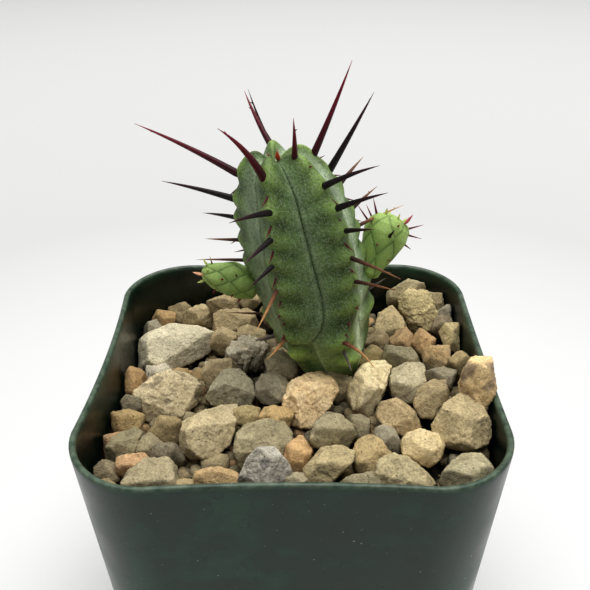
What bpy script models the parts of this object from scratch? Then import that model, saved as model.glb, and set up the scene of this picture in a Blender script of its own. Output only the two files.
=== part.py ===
"""Potted euphorbia: a five-ribbed spiny stem with two offsets, in a square pot topped with stones.

Run with blender --background --python part.py. Sizes below are in millimetres, and finish()
turns each shape into metres. The origin is the middle of the pot's underside, +Z is up and
-Y is the front.
"""

import math
import random

import bmesh
import bpy
from mathutils import Matrix, Vector

METRES = 0.001
GAP = 0.3  # left between pieces that rest against each other

# Pot: tapered, square with round corners, thin walls that bow inwards at the rim.
POT_WIDTH = 63.5
POT_HEIGHT = 62.0
POT_BASE_WIDTH = 54.0
POT_WALL = 1.0
RIM_CORNER = 12.0
BASE_CORNER = 10.0
BASE_EDGE = 1.5  # round along the foot of the walls
SIDE_BOW = {"right": 0.2, "back": 0.55, "left": 1.5, "front": 0.85}
DRAIN_HOLE = 6.0
DRAIN_PLACE = 14.0

# Fill: soil, then a bed of fine gravel. It leans up to the right and to the front, by these
# shares of its depth between the middle and a wall.
SOIL_BELOW_RIM = 16.0
BED_BELOW_RIM = 10.5
BED_LEAN_RIGHT = 0.44
BED_LEAN_FRONT = 0.31

# Stem: heights are above the rim, angles are from the front, growing towards the right.
STEM_X = 5.09  # where the axis passes the rim
STEM_Y = 7.96
STEM_LEAN_X = -0.207
STEM_LEAN_Y = 0.016
STEM_RADIUS = 10.35
STEM_MIDDLE = 10.0
STEM_HEIGHT = 32.0
STEM_BELLY = 20.0  # depth from the widest part down to the neck
TOP_FULLNESS = 2.6  # 2 would be an ellipse, more is squarer
BELLY_FULLNESS = 2.4
TOP_LEAN, TOP_LEAN_DEPTH = 1.1, 10.0  # the tip leans further over this depth
DIMPLE_DEPTH, DIMPLE_RADIUS = 1.2, 2.5
NECK_RADIUS = 4.2
FOOT_DEPTH = 2.0  # how far the stem reaches into the soil
VALLEY = 0.757  # radius between two ribs, against the radius at a crest
RIBS = {"left": -100, "front_left": -28, "front_right": 44, "right": 112, "back": 186}
TWIST = {"left": 0.5, "front_left": 0.5, "front_right": 0.5, "right": 0.1, "back": 0.2}  # degrees a mm
KINK_RIB, KINK, KINK_PLACE, KINK_SPREAD = "front_right", -18, -0.4, 5.0  # this rib swings here

# A place up the stem is a share: 0 at the widest part, 1 at the top, -1 at the neck.
# Spines: rib, place, shift of the base round the stem, length, turn from the rib, rise and
# thickness at the base.
SPINES = (
    ("left", 0.836, 0, 17.4, -12, 23, 1.3),
    ("left", 0.627, 0, 12.6, -15, 7, 1.2),
    ("left", 0.473, 0, 6.3, -25, -5, 0.9),
    ("left", 0.282, 0, 6.7, -19, -10, 0.75),
    ("left", 0.1, 0, 10.7, -22, -14, 0.7),
    ("left", -0.435, 0, 8.2, -10, -12, 0.6),
    ("left", -0.65, 0, 5.8, -3, -26, 0.9),
    ("front_left", 0.891, 0, 13.6, -22, 49, 1.5),
    ("front_left", 0.691, 0, 8.9, -16, 11, 1.2),
    ("front_left", 0.505, 0, 7.5, -6, -4, 1.2),
    ("front_left", 0.127, 0, 8.3, 3, -24, 0.8),
    ("front_left", -0.325, 0, 6.4, 4, -3, 0.8),
    ("front_right", 0.936, -22, 8.5, -58, 78, 1.15),
    ("front_right", 0.818, 0, 11.3, -4, 30, 1.2),
    ("front_right", 0.673, 0, 10.3, -3, 29, 1.2),
    ("front_right", 0.518, 0, 8.3, -21, 24, 1.0),
    ("front_right", 0.318, 0, 11.8, -14, 8, 0.85),
    ("front_right", 0.141, 0, 10.3, -12, 17, 0.8),
    ("front_right", -0.37, 0, 6.8, 20, -10, 0.9),
    ("right", 0.936, -6, 15.4, -3, 66, 1.3),
    ("right", 0.827, -6, 13.4, -6, 59, 1.3),
    ("right", 0.695, 0, 6.7, 29, 22, 0.95),
    ("right", 0.486, 0, 7.2, 29, 12, 0.85),
    ("right", 0.336, 0, 10.3, 14, 6, 0.75),
    ("back", 0.945, 0, 11.3, 21, 37, 1.25),
    ("back", 0.818, 0, 12.7, 26, 49, 0.9),
)
SPINE_TIP = 0.12
SPINE_SIDES = 10
RED_ABOVE, DARK_ABOVE = 0.83, 0.5  # young spines are red, then dark, then brown

# Offsets: rib, which of its spines each grows under and how far, then length, radius, turn
# from the rib, rise and ribs.
OFFSETS = {
    "offset_left": ("left", 5, 5.2, 9.0, 2.7, 8, 16, 5),
    "offset_right": ("right", 5, 9.4, 11.0, 3.2, 18, 55, 5),
}

# Leaves: the piece whose tip each grows on, length, width, and the way it points.
LEAVES = {
    "leaf_crown": ("stem", 2.2, 1.0, 0, 62),
    "leaf_offset_left": ("offset_left", 1.6, 1.1, -100, 10),
    "leaf_offset_right": ("offset_right", 2.0, 1.2, 100, 40),
}

# Roots: one tap root and its side roots, as angle, depth of the start, share of the way to the
# wall, and drop.
TAP_ROOT = 26.0
TAP_RADIUS = 3.0
SIDE_ROOTS = (
    (20, 3, 0.4, 9),
    (95, 6, 0.6, 12),
    (160, 4, 0.75, 8),
    (235, 7, 0.45, 13),
    (305, 5, 0.35, 10),
)
SIDE_ROOT_RADIUS = 0.9

# Stones: place across and along the pot, as a share of the space beside the middle, then
# the top's height above the rim, length, width, height and turn in degrees.
STONES = {
    "stone_left_slab": (-0.77, 0.62, -7.0, 18.0, 12.0, 9.0, 17),
    "stone_left_tan": (-0.74, 0.05, -6.0, 14.0, 11.0, 9.0, 12),
    "stone_front_left_ridge": (-0.46, -0.31, -4.5, 12.5, 9.5, 9.0, 50),
    "stone_grey_speckled": (-0.35, 0.04, -5.0, 10.0, 8.5, 7.5, 20),
    "stone_dark_grey": (-0.13, 0.0, -4.5, 7.0, 7.5, 7.0, 80),
    "stone_grey_green": (-0.08, 0.2, -5.0, 8.0, 7.0, 6.0, -30),
    "stone_orange_long": (0.1, -0.04, -4.0, 13.5, 9.0, 9.0, 48),
    "stone_yellow_long": (0.41, 0.03, -3.0, 13.0, 6.5, 8.0, 62),
    "stone_round": (0.64, -0.01, -2.5, 8.0, 7.5, 7.5, 0),
    "stone_brown_block": (0.75, -0.19, -2.0, 8.5, 6.5, 7.0, 48),
    "stone_rhombus": (0.86, -0.38, -0.5, 11.5, 11.0, 8.5, -20),
    "stone_tall_ochre": (0.97, -0.25, 4.5, 7.0, 8.0, 11.5, 20),
    "stone_brown_long": (0.56, -0.36, -2.0, 10.0, 6.5, 6.5, -42),
    "stone_light_orange": (0.66, -0.63, -1.0, 8.5, 7.0, 6.5, -25),
    "stone_pale_wedge": (0.54, -0.8, -1.0, 10.5, 6.5, 6.5, -25),
    "stone_corner_grey": (0.8, -0.83, -0.5, 8.5, 6.0, 5.5, 10),
    "stone_front_beige": (0.18, -0.71, -2.5, 10.0, 6.0, 6.5, 32),
    "stone_middle_grey": (0.21, -0.45, -2.5, 8.0, 7.5, 7.0, 0),
    "stone_olive": (-0.15, -0.45, -3.5, 10.0, 9.5, 8.5, 10),
    "stone_purple_grey": (-0.13, -0.72, 0.5, 8.5, 6.5, 7.0, -15),
    "stone_front_left_wedge": (-0.7, -0.76, -4.0, 12.0, 6.0, 6.0, -5),
    "stone_back_right_lump": (0.82, 0.76, -2.0, 10.0, 8.5, 9.0, -20),
    "stone_back_long": (0.62, 0.66, -4.0, 14.0, 6.5, 8.0, 80),
    "stone_right_oblong": (0.93, 0.44, -2.5, 8.0, 5.5, 7.0, -60),
}
PEBBLES = (
    (0.24, 0.06, -5.5, 8.0, 6.5, 6.0, 20),
    (0.38, -0.63, -3.0, 5.5, 5.5, 5.0, 30),
    (0.47, -0.54, -3.0, 4.5, 4.5, 4.5, -30),
    (0.33, -0.86, -2.5, 7.5, 4.0, 4.0, 10),
    (0.03, -0.58, -4.0, 4.0, 7.0, 5.5, 0),
    (0.01, -0.82, -3.5, 3.0, 4.0, 4.0, 0),
    (-0.34, -0.8, -4.0, 8.5, 5.0, 5.0, 0),
    (-0.5, -0.82, -5.0, 4.0, 3.5, 4.0, 40),
    (-0.78, -0.62, -5.5, 5.5, 4.0, 4.0, 30),
    (-0.9, -0.78, -6.5, 4.5, 4.0, 4.0, 0),
    (-0.93, -0.64, -6.5, 3.5, 3.5, 3.5, 60),
    (-0.86, -0.46, -5.5, 7.5, 5.5, 6.0, 45),
    (-0.97, -0.44, -6.0, 5.5, 5.0, 5.0, -20),
    (-0.95, -0.26, -6.5, 6.0, 4.5, 4.5, 20),
    (-0.96, -0.08, -6.5, 3.5, 4.5, 5.0, 80),
    (-0.98, 0.12, -6.5, 4.0, 5.5, 5.0, 0),
    (-0.72, -0.48, -6.0, 4.0, 5.0, 4.5, 70),
    (-0.63, -0.53, -6.0, 4.0, 5.5, 5.0, 100),
    (-0.64, -0.35, -5.5, 4.0, 6.0, 5.0, 110),
    (-0.24, -0.28, -4.5, 4.5, 3.5, 4.0, 0),
    (-0.09, -0.3, -4.5, 5.5, 4.5, 4.5, 20),
    (-0.27, 0.36, -5.5, 6.5, 6.0, 5.0, 40),
    (-0.42, 0.17, -5.5, 6.5, 5.0, 5.0, 50),
    (-0.45, 0.9, -4.5, 8.5, 4.5, 5.0, 0),
    (-0.3, 0.92, -4.0, 4.5, 4.5, 4.5, 0),
    (-0.38, 0.77, -6.0, 9.5, 6.5, 6.0, 5),
    (-0.62, 0.84, -6.5, 6.5, 5.5, 5.5, 20),
    (-0.75, 0.92, -7.0, 4.5, 4.0, 4.0, 0),
    (-0.85, 0.84, -7.0, 4.0, 4.0, 4.0, 40),
    (-0.93, 0.7, -7.5, 4.0, 4.0, 4.0, 0),
    (-0.42, 0.55, -6.5, 5.0, 5.5, 5.0, 30),
    (-0.27, 0.56, -6.0, 5.0, 5.5, 5.0, 0),
    (0.75, 0.93, -2.5, 9.5, 4.5, 6.0, 0),
    (0.91, 0.84, -3.0, 5.0, 6.5, 6.0, 80),
    (0.96, 0.68, -4.0, 4.5, 4.0, 4.0, 0),
    (0.93, 0.58, -4.0, 4.0, 5.5, 5.0, 0),
    (0.66, 0.38, -3.5, 5.5, 5.5, 5.5, 0),
    (0.77, 0.34, -3.0, 4.5, 4.5, 4.5, 0),
    (0.84, 0.19, -3.0, 5.0, 5.0, 5.0, 50),
    (0.95, 0.1, -2.5, 4.5, 5.0, 5.0, 0),
    (0.61, 0.19, -3.5, 6.5, 5.0, 5.0, -20),
    (0.51, 0.4, -4.0, 3.5, 5.0, 5.0, 0),
    (0.47, 0.24, -4.0, 5.5, 4.5, 5.0, 0),
    (0.8, -0.02, -2.5, 5.0, 4.0, 4.0, 0),
    (0.34, -0.4, -3.5, 4.0, 5.5, 5.0, 0),
    (0.33, 0.86, -5.0, 8.0, 6.0, 6.0, 15),
    (0.1, 0.9, -5.0, 7.0, 5.5, 6.0, -10),
    (-0.1, 0.86, -5.0, 6.0, 6.0, 6.0, 30),
)
RIM_STONE, RIM_STONE_LEAN = "stone_tall_ochre", 0.35  # this one leans out over the rim
STONE_FACETS = 17
PEBBLE_FACETS = 9
PEBBLE_DEPTH = 3.0  # how far a pebble reaches into the bed

POT_TAPER = (POT_WIDTH - POT_BASE_WIDTH) / 2 / POT_HEIGHT
SOIL_TOP = POT_HEIGHT - SOIL_BELOW_RIM
SIDE_ANGLES = {"right": 0, "back": 90, "left": 180, "front": 270}


def material(name, colour, roughness):
    made = bpy.data.materials.new(name)
    made.use_nodes = True
    shader = made.node_tree.nodes["Principled BSDF"]
    shader.inputs["Base Color"].default_value = (*colour, 1)
    shader.inputs["Roughness"].default_value = roughness
    made.diffuse_color = (*colour, 1)
    return made


def finish(bm, name, colour, collection, smooth=False):
    """Turns a shape in millimetres into an object in metres, with its normals outwards."""
    bmesh.ops.recalc_face_normals(bm, faces=bm.faces)
    bmesh.ops.scale(bm, vec=(METRES,) * 3, verts=bm.verts)
    mesh = bpy.data.meshes.new(name)
    bm.to_mesh(mesh)
    bm.free()
    if colour:
        mesh.materials.append(colour)
    if smooth:
        mesh.shade_smooth()
    made = bpy.data.objects.new(name, mesh)
    collection.objects.link(made)
    return made


def hide_cutter(cutter):
    cutter.hide_render = True
    cutter.display_type = "WIRE"
    return cutter


def combine(target, operation, other):
    modifier = target.modifiers.new(f"{operation.lower()} {other.name}", "BOOLEAN")
    modifier.operation = operation
    modifier.object = other


def drawn_sphere(sides, rings, place):
    """A closed round form: a sphere whose points place(angle, ring) puts where they belong."""
    bm = bmesh.new()
    bmesh.ops.create_uvsphere(bm, u_segments=sides, v_segments=rings, radius=1)
    for vert in bm.verts:
        ring = round((1 - math.acos(max(-1, min(1, vert.co.z))) / math.pi) * rings)
        vert.co = place(math.atan2(vert.co.y, vert.co.x), ring)
    return bm


# ---- pot ----


def wall_offset(z, inset):
    """Half the width and the corner radius of the pot's outline at height z, moved inwards."""
    half = POT_WIDTH / 2 - POT_TAPER * (POT_HEIGHT - z) - inset
    corner = BASE_CORNER + (RIM_CORNER - BASE_CORNER) * z / POT_HEIGHT - inset
    return half, corner


def side_bow(side, across, z):
    """How far a side bows inwards at a place along it."""
    flat = POT_WIDTH / 2 - RIM_CORNER
    share = 1 - min(1, abs(across) / flat) ** 2
    return SIDE_BOW[side] * share * z / POT_HEIGHT


def pot_outline(z, inset, corner_steps=7, side_steps=6):
    """The pot's outline at height z: four arcs and four bowed sides."""
    half, corner = wall_offset(z, inset)
    flat = half - corner
    points = []
    for side, start in SIDE_ANGLES.items():
        turn = Matrix.Rotation(math.radians(start), 2)
        for step in range(1, side_steps):
            across = flat * (2 * step / side_steps - 1)
            points.append(turn @ Vector((half - side_bow(side, across, z), across)))
        for step in range(corner_steps + 1):
            angle = math.radians(90 * step / corner_steps)
            middle = Vector((flat, flat))
            points.append(turn @ (middle + corner * Vector((math.cos(angle), math.sin(angle)))))
    return points


def pot_section(bottom, top, inset, lean=None):
    """A block with the pot's outline. lean(x, y) raises or lowers points of its top."""
    low = pot_outline(bottom, inset)
    high = pot_outline(top, inset)
    bm = bmesh.new()
    bmesh.ops.create_cone(bm, cap_ends=True, segments=len(low), radius1=1, radius2=1, depth=2)
    for vert in bm.verts:
        step = round(math.atan2(vert.co.y, vert.co.x) / math.tau * len(low)) % len(low)
        if vert.co.z < 0:
            vert.co = (*low[step], bottom)
        else:
            z = top + (lean(*high[step]) if lean else 0)
            vert.co = (*pot_outline(z, inset)[step], z)
    return bm


def make_pot(colour, collection, cutters):
    bm = pot_section(0, POT_HEIGHT, 0)
    lid = max(bm.faces, key=lambda face: face.calc_center_median().z)
    bmesh.ops.delete(bm, geom=[lid], context="FACES_ONLY")
    foot = [edge for edge in bm.edges if all(vert.co.z < 0.1 for vert in edge.verts)]
    bmesh.ops.bevel(bm, geom=foot, offset=BASE_EDGE, segments=2, profile=0.5, affect="EDGES")
    pot = finish(bm, "pot", colour, collection)
    shell = pot.modifiers.new("wall", "SOLIDIFY")
    shell.thickness = POT_WALL * METRES
    shell.offset = -1
    shell.use_even_offset = True
    holes = bmesh.new()
    for x in (-DRAIN_PLACE, DRAIN_PLACE):
        for y in (-DRAIN_PLACE, DRAIN_PLACE):
            bmesh.ops.create_cone(
                holes,
                cap_ends=True,
                segments=24,
                radius1=DRAIN_HOLE / 2,
                radius2=DRAIN_HOLE / 2,
                depth=4 * POT_WALL,
                matrix=Matrix.Translation((x, y, 0)),
            )
    combine(pot, "DIFFERENCE", hide_cutter(finish(holes, "drain_holes", None, cutters)))
    return pot


# ---- stem ----


def stem_height(place):
    """The height above the rim of a place up the stem."""
    return STEM_MIDDLE + place * (STEM_HEIGHT - STEM_MIDDLE if place > 0 else STEM_BELLY)


def rib_angle(rib, height):
    kink = KINK * math.exp(-(((height - stem_height(KINK_PLACE)) / KINK_SPREAD) ** 2))
    return RIBS[rib] + TWIST[rib] * (height - STEM_MIDDLE) + (kink if rib == KINK_RIB else 0)


def stem_middle(height):
    tip = max(0, height - STEM_HEIGHT + TOP_LEAN_DEPTH) / TOP_LEAN_DEPTH
    x = STEM_X + STEM_LEAN_X * height - TOP_LEAN * tip * tip
    return Vector((x, STEM_Y + STEM_LEAN_Y * height, POT_HEIGHT + height))


def stem_half(above):
    """Depth and fullness of the stem's upper or lower half."""
    if above:
        return STEM_HEIGHT - STEM_MIDDLE, TOP_FULLNESS
    return STEM_BELLY, BELLY_FULLNESS


def stem_reach(height):
    """The stem's radius at its rib crests."""
    depth, fullness = stem_half(height > STEM_MIDDLE)
    share = min(1, abs(height - STEM_MIDDLE) / depth)
    return max(NECK_RADIUS, STEM_RADIUS * (1 - share**fullness) ** (1 / fullness))


def stem_radius(angle, height):
    """The stem's radius in a direction, between the full radius at a crest and the valleys."""
    crests = sorted(rib_angle(rib, height) % 360 for rib in RIBS)
    angle %= 360
    before = max((a for a in crests if a <= angle), default=crests[-1] - 360)
    after = min((a for a in crests if a > angle), default=crests[0] + 360)
    share = (angle - before) / (after - before)
    crest = ((1 + math.cos(math.tau * share)) / 2) ** 1.6
    return stem_reach(height) * (VALLEY + (1 - VALLEY) * crest)


def heading(angle, rise=0):
    """A direction: the angle from the front towards the right, and the rise, in degrees."""
    angle, rise = math.radians(angle), math.radians(rise)
    flat = math.cos(rise)
    return Vector((math.sin(angle) * flat, -math.cos(angle) * flat, math.sin(rise)))


def skin_point(rib, height, shift=0, out=0):
    """A point on the stem, or out from it, on a rib's crest or shifted round from it."""
    angle = rib_angle(rib, height) + shift
    return stem_middle(height) + heading(angle) * (stem_radius(angle, height) + out)


def stem_shape(out):
    """The stem, or the room that it takes when out is the gap around it."""
    sides, rings, foot_rings = 40, 30, 4
    foot = -SOIL_BELOW_RIM - FOOT_DEPTH
    neck = STEM_MIDDLE - STEM_BELLY - 0.5

    def place(angle, ring):
        turn = math.degrees(angle)
        if ring <= foot_rings:
            height = foot + max(0, ring - 1) / (foot_rings - 1) * (neck - foot)
            radius = NECK_RADIUS * (0 if ring == 0 else 0.8 if ring == 1 else 1)
        else:
            low = math.asin(-0.93)
            lift = low + (math.pi / 2 - low) * (ring - foot_rings) / (rings - foot_rings)
            depth, fullness = stem_half(lift > 0)
            share = math.copysign(abs(math.sin(lift)) ** (2 / fullness), lift)
            height = STEM_MIDDLE + depth * share
            radius = STEM_RADIUS * max(0, math.cos(lift)) ** (2 / fullness)
            radius *= stem_radius(turn, height) / stem_reach(height)
            radius = max(radius, NECK_RADIUS) if lift < 0 else radius
        point = stem_middle(height) + heading(turn) * (radius + out * (ring > 0))
        if height > STEM_MIDDLE:
            point.z -= DIMPLE_DEPTH * math.exp(-((radius / DIMPLE_RADIUS) ** 2))
        if ring <= 1:
            point.z -= out
        return point

    return drawn_sphere(sides, rings, place)


# ---- spines, offsets and leaves ----


def aim(direction):
    return direction.to_track_quat("Z", "Y")


def make_spines(colours, collection, parent):
    numbers = dict.fromkeys(RIBS, 0)
    for rib, place, shift, length, turn, rise, thickness in SPINES:
        height = stem_height(place)
        numbers[rib] += 1
        bm = bmesh.new()
        bmesh.ops.create_cone(
            bm,
            cap_ends=True,
            segments=SPINE_SIDES,
            radius1=thickness / 2,
            radius2=SPINE_TIP / 2,
            depth=length,
            matrix=Matrix.Translation((0, 0, length / 2)),
        )
        tone = "red" if place > RED_ABOVE else "dark" if place > DARK_ABOVE else "brown"
        name = f"spine_{rib}_{numbers[rib]}"
        spine = finish(bm, name, colours[f"spine_{tone}"], collection, smooth=True)
        way = heading(rib_angle(rib, height) + turn, rise)
        slant = way.angle(heading(rib_angle(rib, height) + shift))
        start = skin_point(rib, height, shift, GAP + thickness / 2 * math.sin(slant))
        spine.location = start * METRES
        spine.rotation_mode = "QUATERNION"
        spine.rotation_quaternion = aim(way)
        spine.parent = parent


def offset_frame(name):
    """Where an offset starts, its direction and its sizes."""
    rib, number, drop, length, radius, turn, rise, ribs = OFFSETS[name]
    places = [spine[1] for spine in SPINES if spine[0] == rib]
    height = stem_height(places[number - 1]) - drop
    way = heading(rib_angle(rib, height) + turn, rise)
    start = skin_point(rib, height, out=GAP)
    return start, way, length, radius, ribs


def make_offset(name, colour, collection, parent):
    start, way, length, radius, ribs = offset_frame(name)
    rings = 14

    def place(angle, ring):
        along = (1 - math.cos(math.pi * ring / rings)) / 2
        bulge = math.sin(math.pi * min(1, along * 0.92 + 0.08)) ** 0.55 if 0 < ring < rings else 0
        flute = 1 + 0.07 * math.cos(ribs * angle)
        across = radius * bulge * flute
        return Vector((across * math.cos(angle), across * math.sin(angle), along * length))

    made = finish(drawn_sphere(ribs * 5, rings, place), name, colour, collection, smooth=True)
    made.location = (start + way * 0.4 * radius) * METRES
    made.rotation_mode = "QUATERNION"
    made.rotation_quaternion = aim(way)
    made.parent = parent


def make_leaf(name, colour, collection, parent):
    host, length, width, turn, rise = LEAVES[name]
    way = heading(turn, rise)
    if host == "stem":
        start = stem_middle(STEM_HEIGHT) - Vector((0, 0, DIMPLE_DEPTH))
    else:
        base, along, reach, radius, _ = offset_frame(host)
        start = base + along * (reach + 0.4 * radius)
    bm = bmesh.new()
    bmesh.ops.create_uvsphere(bm, u_segments=10, v_segments=8, radius=0.5)
    bmesh.ops.scale(bm, vec=(width, width * 0.5, length), verts=bm.verts)
    leaf = finish(bm, name, colour, collection, smooth=True)
    leaf.location = (start + way * (length / 2 + GAP)) * METRES
    leaf.rotation_mode = "QUATERNION"
    leaf.rotation_quaternion = aim(way)
    leaf.parent = parent


# ---- roots and soil ----


def way_to_wall(start, way):
    half, _ = wall_offset(start.z, POT_WALL + GAP)
    return min(
        (half - math.copysign(start[axis], way[axis] * start[axis])) / max(abs(way[axis]), 0.01)
        for axis in (0, 1)
    )


def root_lines():
    """Each root as its points and radii: the tap root first, then the side roots."""
    crown = stem_middle(-SOIL_BELOW_RIM - FOOT_DEPTH - 2 * GAP)
    tap = [crown + Vector((0.06 * d, 0.04 * d, -d)) for d in (0, 4, 10, 18, TAP_ROOT)]
    lines = [(tap, [TAP_RADIUS * share for share in (0.95, 1, 0.7, 0.4, 0.12)])]
    for angle, depth, share, drop in SIDE_ROOTS:
        start = crown + Vector((0, 0, -depth))
        reach = share * way_to_wall(start, heading(angle))
        points = [
            start + heading(angle + 12 * math.sin(3 * t)) * reach * t - Vector((0, 0, drop * t * t))
            for t in (0, 0.25, 0.5, 0.75, 1)
        ]
        lines.append((points, [SIDE_ROOT_RADIUS * share for share in (1.3, 1, 0.8, 0.6, 0.3)]))
    return lines


def root_tube(name, points, radii, grow, collection):
    """A root as a mesh tube, made from a curve with a radius at each point."""
    curve = bpy.data.curves.new(name, "CURVE")
    curve.dimensions = "3D"
    curve.bevel_depth = METRES
    curve.bevel_resolution = 2
    curve.use_fill_caps = True
    spline = curve.splines.new("POLY")
    spline.points.add(len(points) - 1)
    ends = list(points)
    if grow:
        ends[0] = ends[0] + (ends[0] - ends[1]).normalized() * 4 * grow
        ends[-1] = ends[-1] + (ends[-1] - ends[-2]).normalized() * grow
    for spot, point, radius in zip(spline.points, ends, radii):
        spot.co = (*(point * METRES), 1)
        spot.radius = radius + grow
    guide = bpy.data.objects.new(name, curve)
    collection.objects.link(guide)
    graph = bpy.context.evaluated_depsgraph_get()
    mesh = bpy.data.meshes.new_from_object(guide.evaluated_get(graph))
    bpy.data.objects.remove(guide)
    bm = bmesh.new()
    bm.from_mesh(mesh)
    bmesh.ops.remove_doubles(bm, verts=bm.verts, dist=0.00001)
    bmesh.ops.recalc_face_normals(bm, faces=bm.faces)
    bm.to_mesh(mesh)
    bm.free()
    tube = bpy.data.objects.new(name, mesh)
    collection.objects.link(tube)
    return tube


def make_roots_and_soil(colours, collection, cutters):
    tap, *side = root_lines()
    roots = root_tube("roots", *tap, 0, collection)
    roots.data.materials.append(colours["root"])
    for number, line in enumerate(side):
        combine(roots, "UNION", hide_cutter(root_tube(f"side_root_{number}", *line, 0, cutters)))
    bottom = POT_WALL + GAP
    soil = finish(pot_section(bottom, SOIL_TOP, POT_WALL + GAP), "soil", colours["soil"], collection)
    for number, line in enumerate((tap, *side)):
        combine(soil, "DIFFERENCE", hide_cutter(root_tube(f"root_room_{number}", *line, GAP, cutters)))
    combine(soil, "DIFFERENCE", hide_cutter(finish(stem_shape(GAP), "stem_socket", None, cutters)))


# ---- stones ----


def cut_away(bm, point, normal):
    """Removes what lies beyond a plane and closes the cut."""
    geometry = bm.verts[:] + bm.edges[:] + bm.faces[:]
    cut = bmesh.ops.bisect_plane(
        bm, geom=geometry, plane_co=point, plane_no=normal, dist=0.001, clear_outer=True
    )
    edges = [part for part in cut["geom_cut"] if isinstance(part, bmesh.types.BMEdge)]
    if edges:
        bmesh.ops.contextual_create(bm, geom=edges)


def bed_slope():
    half, _ = wall_offset(POT_HEIGHT, POT_WALL + GAP)
    depth = SOIL_BELOW_RIM - BED_BELOW_RIM
    return Vector((BED_LEAN_RIGHT, -BED_LEAN_FRONT)) * depth / half


def bed_lean(x, y):
    return bed_slope().dot((x, y))


def bed_top(x, y):
    return POT_HEIGHT - BED_BELOW_RIM + bed_lean(x, y)


def keep_middle_in(middle, margin, z):
    """Moves a stone's middle inside the pot's walls and corners, as they are at height z."""
    half, corner = wall_offset(z, POT_WALL + GAP)
    for axis, sides in enumerate((("left", "right"), ("front", "back"))):
        bow = side_bow(sides[middle[axis] > 0], middle[1 - axis], z)
        limit = half - bow - margin
        middle[axis] = max(-limit, min(limit, middle[axis]))
    flat = half - corner
    beyond = Vector([math.copysign(max(0, abs(spot) - flat), spot) for spot in middle.xy])
    if beyond.length > corner - margin:
        middle.xy -= beyond * (1 - (corner - margin) / beyond.length)


def stone_room(across, along, above_rim, length, width, height, turn, rooted):
    """A stone's middle and sizes, once it keeps off the stem and reaches down to the bed.

    A rooted one reaches into it.
    """
    half, _ = wall_offset(POT_HEIGHT, POT_WALL + GAP)
    middle = Vector((across * half, along * half, 0))
    top = POT_HEIGHT + above_rim
    keep_middle_in(middle, 0.1 * width, SOIL_TOP if rooted else POT_HEIGHT)
    stem = stem_middle(above_rim)
    away = (middle - stem) * Vector((1, 1, 0))
    least = stem_reach(above_rim) + 0.25 * width
    if away.length < least:
        middle += away.normalized() * (least - away.length)
    depth = PEBBLE_DEPTH if rooted else GAP
    height = max(height, top - bed_top(middle.x, middle.y) + depth)
    middle.z = top - height / 2
    return middle, (length, width, height), turn


def rough_stone(seed, middle, sizes, turn, facets, rooted):
    """A block with its corners struck off by planes that face evenly spread directions.

    A rooted one keeps its full width down to its foot.
    """
    chance = random.Random(seed)
    bm = bmesh.new()
    bmesh.ops.create_cube(bm, size=2)
    for facet in range(facets):
        z = 1 - 2 * (facet + 0.5) / facets
        angle = 2.4 * facet + chance.uniform(-0.4, 0.4)
        flat = math.sqrt(1 - z * z)
        way = Vector((flat * math.cos(angle), flat * math.sin(angle), z + chance.uniform(-0.2, 0.2)))
        if rooted:
            way.z = max(0, way.z)
        way.normalize()
        cut_away(bm, way * chance.uniform(0.82, 1.0), way)
    bmesh.ops.scale(bm, vec=[size / 2 for size in sizes], verts=bm.verts)
    tilt = Matrix.Rotation(math.radians(chance.uniform(-9, 9)), 4, "X")
    spin = Matrix.Rotation(math.radians(turn), 4, "Z")
    bmesh.ops.transform(bm, matrix=Matrix.Translation(middle) @ spin @ tilt, verts=bm.verts)
    return bm


def corner_reach(way, z, inset):
    """How far the outline at height z reaches from the middle towards a corner."""
    half, corner = wall_offset(z, inset)
    return (half - corner) * (abs(way.x) + abs(way.y)) + corner


def keep_in_pot(bm, middle, lean_out, gap):
    """Cuts a stone at planes this far inside the rim that lean with the walls."""
    rim = Vector((0, 0, POT_HEIGHT))
    half, _ = wall_offset(POT_HEIGHT, POT_WALL + gap)
    for side, angle in SIDE_ANGLES.items():
        normal = Vector((math.cos(math.radians(angle)), math.sin(math.radians(angle)), 0))
        along = Vector((-normal.y, normal.x, 0))
        across = middle.dot(along)
        reach = half - side_bow(side, across, POT_HEIGHT)
        swing = side_bow(side, across + 0.5, POT_HEIGHT) - side_bow(side, across - 0.5, POT_HEIGHT)
        tilt = along * swing - Vector((0, 0, lean_out))
        cut_away(bm, normal * reach + along * across + rim, normal + tilt)
        cut_away(bm, normal * (POT_WIDTH / 2 - GAP), normal)
        for step in (1, 2, 3):
            way = Vector((math.cos(math.radians(angle + 22.5 * step)), 0, 0))
            way.y = math.sin(math.radians(angle + 22.5 * step))
            reach = corner_reach(way, POT_HEIGHT, POT_WALL + gap)
            taper = reach - corner_reach(way, POT_HEIGHT - 1, POT_WALL + gap)
            cut_away(bm, way * reach + rim, way - Vector((0, 0, taper)))


def keep_off_stem(bm, middle):
    """Cuts a stone at a plane that touches the stem's ribs, where the stone's top stands."""
    height = max(vert.co.z for vert in bm.verts) - POT_HEIGHT
    axis = stem_middle(height)
    way = (middle - axis) * Vector((1, 1, 0))
    way.normalize()
    reach = 0
    for rib in RIBS:
        crest = heading(rib_angle(rib, height)) * stem_reach(height)
        reach = max(reach, crest.dot(way))
    cut_away(bm, axis + way * (reach + GAP), -way)


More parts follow.
